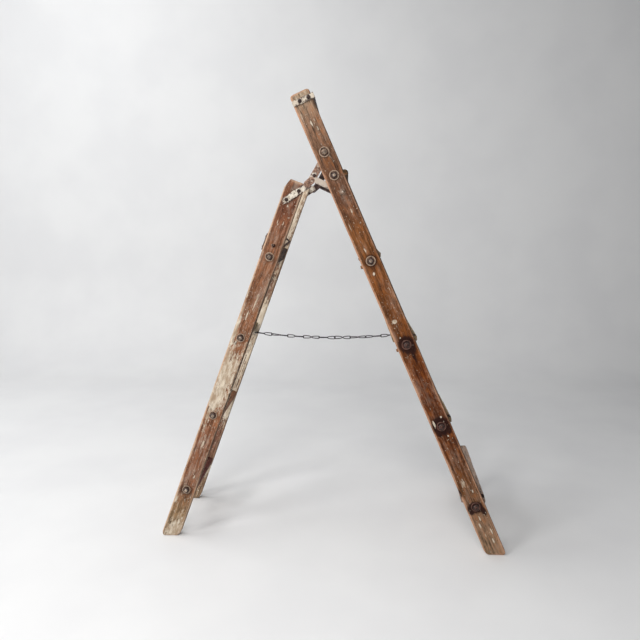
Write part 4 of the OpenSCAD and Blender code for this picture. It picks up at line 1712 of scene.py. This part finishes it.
@dataclass
class Ironwork:
    """Hinge brackets, straps and pins, top crossbar, stays, edge plates and the round bar.

    Args:
        coats: The iron finishes.
        broad: Width of the straps and the brackets' main arms.
        slim: Width of the brackets' lower arms.
        pin: Radius of the hinge pins.
        bore: Radius of the bores they run in.
        eye: Outer radius of the eyes round them.
        lip: Radius of an eye's eased end.
        ease: Length of that ease.
        inner_face: Least depth of the irons on a rail's inner face.
        outer_face: Least depth of the irons on its outer face.
        strap_length: Length of the rear straps from the pin.
        crossbar: Width and thickness of the top crossbar.
        crossbar_v: Place of the crossbar's front face across the rails.
        lug: Width, thickness and length of the lugs at its ends.
        lug_v: Where the lugs start across the rails.
        stay_pin: v and q of the stays' pins.
        plate: Width, thickness and length of the edge plates.
        plate_q: Where the plates start up the rails.
        pole: Radius of the round bar.
        pole_v: Its place across the rails.
        pole_drop: How far it sits below its row.
    """

    coats: Coats
    broad: float = 24
    slim: float = 20
    pin: float = 6
    bore: float = 6.1
    eye: float = 11
    lip: float = 9.6
    ease: float = 1.2
    inner_face: float = 28.2
    outer_face: float = -5.2
    strap_length: float = 94
    crossbar: tuple[float, float] = (22, 7.6)
    crossbar_v: float = 34.2
    lug: tuple[float, float, float] = (20, 5, 77)
    lug_v: float = -35
    stay_pin: tuple[float, float] = (-4, 1145)
    plate: tuple[float, float, float] = (20, 3.5, 60)
    plate_q: float = 1117
    pole: float = 12
    pole_v: float = 34
    pole_drop: float = 7

    def _add(self, name: str, shells: Sequence[Shell], coat: Coat, body: Body, node: str) -> None:
        """Adds some shells as one piece of iron."""
        add_piece(name, Shell.joined(shells), self.coats[coat], body, node)

    def _mirrored(self, side: Side, lean: Lean, place: tuple[float, float]) -> Matrix:
        """Returns the matrix across a frame at v and q, mirrored for the near side."""
        return Matrix.Diagonal((1, side.value, 1, 1)) @ lean.across(*place)

    def _bracket(self, side: Side) -> None:
        """Builds the forged bracket of one front rail, its eye round the pin, and its rivet.

        Args:
            side: The side of the object.
        """
        rail, (v, q) = FRONT.rail(side), HINGE_FRONT
        near = side is Side.NEAR
        node, slot = f"hinge_bracket_{side.label}", Slot.PAINTED_IRON if near else Slot.RUSTY_IRON
        root = strip((v, q), (v + 18, q + 6), self.broad, 6, self.inner_face, 61)
        upper = strip((v + 17, q + 5), (7, 1508), self.broad, 5.6, self.inner_face + 0.2, 62)
        lower = strip((v + 22, q + 12), BRACKET_LOW, self.slim, 5.8, self.inner_face + 0.1, 63)
        start, end = REAR.out(HINGE_REAR[1]) + 16.5, FRONT.inside(q) - 2.7
        eased = ((self.lip, start), (self.eye, start + self.ease))
        eye = lathe(((self.bore, start), *eased, (self.eye, end), (self.bore, end)), 24, True)
        rivet = rod(6.2, 24.4, 28.6, 14, 1.6).placed(rail @ Matrix.Translation((v + 33, 0, q + 16)) @ Y_AXIS)
        self._add(f"hinge_rivet_{side.label}", [rivet], Coat.DARK, Body.FRONT, node)
        arms = [root.placed(rail), upper.placed(rail), eye.placed(self._mirrored(side, FRONT, HINGE_FRONT))]
        # The far bracket and its lower arm take the dark iron as painted shade; the near one keeps its flaked
        # and pale paint.
        self._add(f"{node}_iron", arms, Coat.FLAKED if near else Coat.DARK, Body.FRONT, node)
        arm_coat = Coat.PALE if near else Coat.DARK
        self._add(f"hinge_arm_{side.label}_iron", [lower.placed(rail)], arm_coat, Body.FRONT, node)

    def _strap(self, side: Side) -> None:
        """Builds the painted strap of one rear rail and its knuckle round the pin.

        Args:
            side: The side of the object.
        """
        flat = strip(HINGE_REAR, down_strap(self.strap_length), self.broad, 5, self.outer_face, 65)
        low, high = (REAR.out(HINGE_REAR[1]) + more for more in (2.5, 16))
        eased = ((self.eye, high - self.ease), (self.lip, high))
        knuckle = lathe(((self.bore, low), (self.eye, low), *eased, (self.bore, high)), 24, True)
        node = f"hinge_strap_{side.label}"
        shells = [flat.placed(REAR.rail(side)), knuckle.placed(self._mirrored(side, REAR, HINGE_REAR))]
        self._add(f"{node}_iron", shells, Coat.PAINTED, Body.REAR, node)

    def _pins(self) -> None:
        """Builds the two hinge pins."""
        start, end = REAR.out(HINGE_REAR[1]) + 0.6, FRONT.inside(HINGE_FRONT[1]) - 1
        pin = rod(self.pin, start, end, 18, 1.2)
        pins = [pin.placed(self._mirrored(side, FRONT, HINGE_FRONT)) for side in Side]
        self._add("hinge_pin_pair", pins, Coat.BARE_STEEL, Body.FRONT, "hinge_pins")

    def _crossbar(self) -> None:
        """Builds the flat bar across the tops of the front rails and the lugs that wrap round them."""
        reach = FRONT.out(BAND_Q) + 3
        bar = Bar(*self.crossbar, 2 * reach, ease=1.6, wear=0.7, seed=71, tip=5, step=5, flat=2.6).shell()
        place = FRONT.matrix @ Matrix.Translation((self.crossbar_v, -reach, BAND_Q)) @ ON_EDGE
        node, slot = "top_crossbar", Slot.PAINTED_IRON
        # The bar lies on the rails' edge turned from the light; its dark iron is painted shade there, while
        # the lugs keep the band's paint.
        self._add("top_crossbar_bar", [bar.placed(place)], Coat.DARK, Body.FRONT, node)
        lug = Bar(*self.lug, ease=1.2, wear=0.8, seed=73, tip=6, step=3, flat=2.6).shell()
        start = Matrix.Translation((self.lug_v, self.outer_face, BAND_Q))
        wrap = start @ Matrix.Rotation(math.pi / 2, 4, "Y")
        lugs = [lug.placed(FRONT.rail(side) @ wrap) for side in Side]
        self._add("top_crossbar_band", lugs, Coat.BAND, Body.FRONT, node)

    def _stays(self) -> None:
        """Builds the bent stays above the broad rung and the plates on the rear rails' back edges."""
        apex, heel, back, head = (29, 1162), (13, 1138), self.stay_pin, (-4, 1175)
        pin_place = Matrix.Translation((self.stay_pin[0], 0, self.stay_pin[1])) @ Y_AXIS
        plate = Bar(*self.plate, ease=0.9, wear=0.8, seed=90, tip=1, step=3, flat=2.6).shell()
        start = Matrix.Translation((-REAR.rail_w / 2 - self.plate[1] - GAP, MID_RAIL, self.plate_q))
        plate_place = start @ Matrix.Rotation(-math.pi / 2, 4, "Z")
        irons, discs, plates = [], [], []
        for side in Side:
            rail = REAR.rail(side)
            for i, (a, b) in enumerate(((apex, head), (apex, heel), (heel, back), (back, head))):
                irons.append(strip(a, b, 7, 3.6 + 0.1 * i, self.inner_face, 80 + i).placed(rail))
            irons.append(rod(2.1, -3, 29, 10, 0.6).placed(rail @ pin_place))
            discs.append(rod(4.5, -4, -GAP, 12, 0.8).placed(rail @ pin_place))
            plates.append(plate.placed(rail @ plate_place))
        self._add("rung_stay_irons", irons, Coat.DARK, Body.REAR, "rung_stays")
        self._add("stay_pin_heads", discs, Coat.RUSTY, Body.REAR, "rung_stays")
        self._add("edge_plate_pair", plates, Coat.DARK, Body.REAR, "edge_plates")

    def _round_bar(self) -> None:
        """Builds the round wooden bar at the height of the hinge."""
        reach = FRONT.out(BAR_Q)
        wood = WeatheredWood(
            "round_bar_wood", 1000, shades({0: "43321f", 500: "7a5c3c"}), edge=tone("5c4830"), grey=0.2
        ).build()
        pole = rod(self.pole, -reach, reach, 28, 2.4, 60)
        pole.masks[Channel.EDGE] = pole.masks[Channel.EDGE] * 0.3
        shell = pole.placed(FRONT.across(self.pole_v, BAR_Q - self.pole_drop))
        add_piece("round_crossbar_pole", shell, wood, Body.FRONT, "round_crossbar")

    def build(self) -> None:
        """Builds all the iron, and the round bar."""
        for side in Side:
            self._bracket(side)
            self._strap(side)
        self._pins()
        self._crossbar()
        self._stays()
        self._round_bar()


@dataclass
class Chain:
    """Check chain of twisted double-loop links between the two screw eyes.

    Args:
        coats: The iron finishes.
        pitch: Length of a link from knot to knot.
        sag: How far the middle hangs below the ends.
        wire: Radius of the links' wire.
        wide: Half width of a loop, and where it starts out from its knot.
        hook: How far a loop's tip passes the middle between two knots.
        knot_reach: Half length of the twist.
        knot_radius: Radius of its turns.
        knot_wire: Radius of its wire.
        eye_radius: Radius of a screw eye's ring.
        eye_wire: Radius of its wire.
        eye_clear: How far the eyes stand off the far rails' inner faces.
        rear_eye: v and q of the rear eye.
        front_eye: v and q of the front eye.
        split: Number of the first link of the front half.
        beside: How far the two loops at the opened joint lie aside.
        rear_rolls: Turn of each link's rear loop about the chain, degrees, from the rear end on.
        front_rolls: The same for its front loop.
    """

    coats: Coats
    pitch: float = 63.6
    sag: float = 17.0
    wire: float = 1.8
    wide: float = 5.2
    hook: float = 1.8
    knot_reach: float = 4.2
    knot_radius: float = 2.0
    knot_wire: float = 1.15
    eye_radius: float = 6.5
    eye_wire: float = 1.9
    eye_clear: float = 9.5
    rear_eye: tuple[float, float] = (19, 774)
    front_eye: tuple[float, float] = (-14, 770)
    split: int = 5
    beside: float = 2.2
    rear_rolls: tuple[float, ...] = (90, 70, 0, 0, 90, 0, 70, -35, 0)
    front_rolls: tuple[float, ...] = (0, 90, 90, 20, 0, 0, 125, 90, 90)

    @property
    def ends(self) -> tuple[Vector, Vector]:
        """Works out where the chain hangs from.

        Returns:
            The middles of the rear eye and the front eye.
        """
        middles = []
        for lean, (v, q) in ((REAR, self.rear_eye), (FRONT, self.front_eye)):
            spot = lean.matrix @ Vector((v, 0, q))
            spot.y = lean.inside(q) - self.eye_clear
            middles.append(spot)
        return middles[0], middles[1]

    def _point(self, share: float) -> Vector:
        """Returns the point on the hanging line at a share of its span."""
        a, b = self.ends
        return a + (b - a) * share - Vector((0, 0, self.sag * 4 * share * (1 - share)))

    def _frame(self, share: float) -> Matrix:
        """Returns a link's matrix at a share of the span, x along the hanging line.

        Args:
            share: Place of its middle, from 0 at the rear eye to 1 at the front eye.

        Returns:
            The matrix.
        """
        a, b = self.ends
        turn = Matrix.Rotation(math.atan2(b.y - a.y, b.x - a.x), 4, "Z")
        slope = self._point(share + 0.01) - self._point(share - 0.01)
        tilt = Matrix.Rotation(-math.atan2(slope.z, math.hypot(slope.x, slope.y)), 4, "Y")
        return Matrix.Translation(self._point(share)) @ turn @ tilt

    def _loop(self, reach: float) -> Shell:
        """Returns one wire loop from its knot at x = 0 out to its tip, drawn in a little by the knot.

        Args:
            reach: Distance from the knot to the wire's middle at the tip.

        Returns:
            The loop.
        """
        wide, start, stop = self.wide, self.wide, reach - self.wide
        turn = np.linspace(-math.pi / 2, math.pi / 2, 9)
        tip = np.stack([stop + wide * np.cos(turn), wide * np.sin(turn)], 1)
        side = np.linspace(0, 1, 7)[1:-1]
        neck = wide * (0.74 + 0.26 * np.sin(side * math.pi / 2))
        up = np.stack([stop + (start - stop) * side, neck[::-1]], 1)
        root = np.array([[3.4, 2.4], [1.6, 0.0], [3.4, -2.4]])
        down = np.stack([start + (stop - start) * side, -neck], 1)
        flat = np.concatenate([tip, up, root, down])
        return tube(np.column_stack([flat, np.zeros(len(flat))]), self.wire, 8)

    def _knot(self) -> Shell:
        """Builds the twist in the middle of a link: a few turns of wire round a core.

        Returns:
            The twist, along x.
        """
        t = np.linspace(-1, 1, 37)
        angle = t * math.pi * 2.6
        r = self.knot_radius
        path = np.column_stack([t * self.knot_reach, r * np.cos(angle), r * np.sin(angle)])
        core = rod(1.7, -4.6, 4.6, 10, 0.5).placed(Matrix.Rotation(math.pi / 2, 4, "Y"))
        return Shell.joined([tube(path, self.knot_wire, 7, False), core])

    def _half(self, body: Body, links: range, node: str) -> None:
        """Builds the links of one half of the chain.

        Args:
            body: The body that the half is.
            links: Numbers of its links, from the rear end on.
            node: Its CAD node.
        """
        a, b = self.ends
        span, last = (b - a).length, len(self.rear_rolls) - 1
        tip = self.pitch / 2 + self.hook
        end_tip = (self._point(0.5 - last / 2 * self.pitch / span) - a).length - 1.5
        flip = Matrix.Rotation(math.pi, 4, "Z")
        loops, knots, special = [], [], []
        for i in links:
            base = self._frame(0.5 + (i - last / 2) * self.pitch / span)
            knots.append(Seat(base))
            for facing, roll, at_eye, at_split in (
                (base, self.front_rolls[i], i == last, i == self.split - 1),
                (base @ flip, self.rear_rolls[i], i == 0, i == self.split),
            ):
                place = facing @ Matrix.Rotation(math.radians(roll + 90), 4, "X")
                if not at_eye and not at_split:
                    loops.append(Seat(place))
                    continue
                aside = Vector((0, -self.beside if at_split else 0.0, 0))
                shell = self._loop(end_tip if at_eye else tip)
                special.append(shell.placed(Matrix.Translation(facing.to_3x3() @ aside) @ place))
        iron = self.coats[Coat.CHAIN]
        for label, shape, seats in (("loops", self._loop(tip), loops), ("knots", self._knot(), knots)):
            settle(Repeat(f"{node}_{label}", shape, seats, seed=1).build(iron), body, node)
        add_piece(node + "_ends", Shell.joined(special), iron, body, node)

    def _eye(self, point: Vector, lean: Lean, side: int, body: Body, node: str) -> None:
        """Builds one screw eye.

        Args:
            point: Middle of its ring.
            lean: The frame that it is screwed into.
            side: Side of the ring that its shank stands on, -1 or 1 along x.
            body: The frame's body.
            node: Its CAD node.
        """
        turn = np.linspace(0, math.tau, 25)[:-1]
        ring = np.column_stack([np.cos(turn), 0 * turn, np.sin(turn)]) * self.eye_radius
        shank = rod(2, -1, 24.5, 12, 0.5).placed(Matrix.Translation((side * self.eye_radius, 0, 0)) @ Y_AXIS)
        place = Matrix.Translation(point) @ Matrix.Rotation(math.radians(lean.angle), 4, "Y")
        shell = Shell.joined([tube(ring, self.eye_wire, 10), shank]).placed(place)
        add_piece(node + "_ring", shell, self.coats[Coat.BARE_STEEL], body, node)

    def build(self) -> None:
        """Builds both halves of the chain and their eyes."""
        self._half(Body.CHAIN_REAR, range(self.split), "chain_rear_half")
        self._half(Body.CHAIN_FRONT, range(self.split, len(self.rear_rolls)), "chain_front_half")
        a, b = self.ends
        self._eye(a, REAR, -1, Body.REAR, "rear_chain_eye")
        self._eye(b, FRONT, 1, Body.FRONT, "front_chain_eye")


# ---------------------------------------------------------------- room, light and camera


@dataclass(frozen=True)
class Lamp:
    """One square soft light.

    Args:
        name: Its name.
        place: Where it stands, metres.
        aim: What it points at, metres.
        size: Length of its side, metres.
        power: Its power, watts.
        tint: Its colour.
    """

    name: str
    place: tuple[float, float, float]
    aim: tuple[float, float, float]
    size: float
    power: float
    tint: RGB

    def build(self) -> None:
        """Adds the light to the scene."""
        data = bpy.data.lights.new(self.name, "AREA")
        data.shape, data.size, data.energy, data.color = "SQUARE", self.size, self.power, self.tint
        lamp = bpy.data.objects.new(self.name, data)
        lamp.location = self.place
        lamp.rotation_euler = (Vector(self.aim) - Vector(self.place)).to_track_quat("-Z", "Y").to_euler()
        bpy.context.scene.collection.objects.link(lamp)


@dataclass
class Studio:
    """Pale paper sweep, soft light from the front left, and the camera. Sizes are metres."""

    wall_y: float = 2.9
    bend: float = 0.75
    height: float = 6.0
    half_width: float = 9.0
    front_y: float = -6.0
    eye: tuple[float, float, float] = (0.063, -2.382, 1.162)
    pitch: float = 8.88
    yaw: float = 2.47
    lens: float = 36.0
    air: tuple[float, float, float, float] = (0.93, 0.96, 1.0, 1.0)
    air_strength: float = 0.11
    lamps: tuple[Lamp, ...] = (
        Lamp("key", (-2.9, -2.6, 3.0), (0.1, 0.2, 0.7), 1.25, 62, (1.0, 0.99, 0.97)),
        Lamp("front", (-0.6, -3.4, 2.6), (-0.3, -1.4, 0.0), 2.0, 92, (1.0, 0.99, 0.98)),
        Lamp("window", (-4.6, -0.6, 1.9), (0.5, 1.5, 0.8), 2.2, 31, (0.98, 0.99, 1.0)),
        Lamp("top", (-2.2, 0.3, 3.9), (-1.6, 1.4, 0.4), 2.4, 66, (0.98, 0.99, 1.0)),
    )

    def _paper(self) -> bpy.types.Material:
        """Builds the matt paper of the sweep.

        Returns:
            Its material.
        """
        g = Graph("paper")
        speck = g.noise(g.node("TexCoord", out=3), 2.2, 3, 0.5)
        return g.finish(g.mix(g.fit(speck, 0.3, 0.7), (0.80, 0.80, 0.805), (0.84, 0.84, 0.84)), 0.7, 0.0)

    def _sweep(self) -> None:
        """Builds the floor that curves up into the backdrop."""
        bend, foot = self.bend, self.wall_y - self.bend
        turn = np.linspace(0, math.pi / 2, 25)
        curve = [(foot + bend * math.sin(t), bend - bend * math.cos(t)) for t in turn]
        profile = [(self.front_y, 0.0), *curve, (self.wall_y, self.height)]
        verts = [(x, y, z) for x in (-self.half_width, self.half_width) for y, z in profile]
        n = len(profile)
        mesh = bpy.data.meshes.new("paper_sweep")
        mesh.from_pydata(verts, [], [(i + 1, i, n + i, n + i + 1) for i in range(n - 1)])
        mesh.polygons.foreach_set("use_smooth", [True] * len(mesh.polygons))
        mesh.materials.append(self._paper())
        sweep = bpy.data.objects.new("paper_sweep", mesh)
        bpy.context.scene.collection.objects.link(sweep)

    def _camera(self) -> None:
        """Places the camera."""
        data = bpy.data.cameras.new("camera")
        data.lens, data.sensor_width = self.lens, 36.0
        camera = bpy.data.objects.new("camera", data)
        camera.location = self.eye
        camera.rotation_euler = (math.radians(90 - self.pitch), 0.0, math.radians(self.yaw))
        bpy.context.scene.collection.objects.link(camera)
        bpy.context.scene.camera = camera

    def build(self) -> None:
        """Builds the room and places the lights and the camera."""
        self._sweep()
        for lamp in self.lamps:
            lamp.build()
        world = bpy.data.worlds.new("soft_room")
        world.use_nodes = True
        background = world.node_tree.nodes["Background"]
        background.inputs[0].default_value = self.air
        background.inputs[1].default_value = self.air_strength
        bpy.context.scene.world = world
        self._camera()
        bpy.context.scene.view_settings.view_transform = "Standard"


def main() -> None:
    """Builds every sub-assembly in order, then the room."""
    logging.basicConfig(level=logging.INFO, format="%(name)s %(message)s")
    coats = {coat: coat.value.build() for coat in Coat}
    for part in (
        FrontRails(), Treads(), RearRails(), Rungs(),
        Fasteners(coats), Ironwork(coats), Chain(coats), Studio(),
    ):
        part.build()
        log.info("%s done", type(part).__name__)


if __name__ == "__main__":
    main()
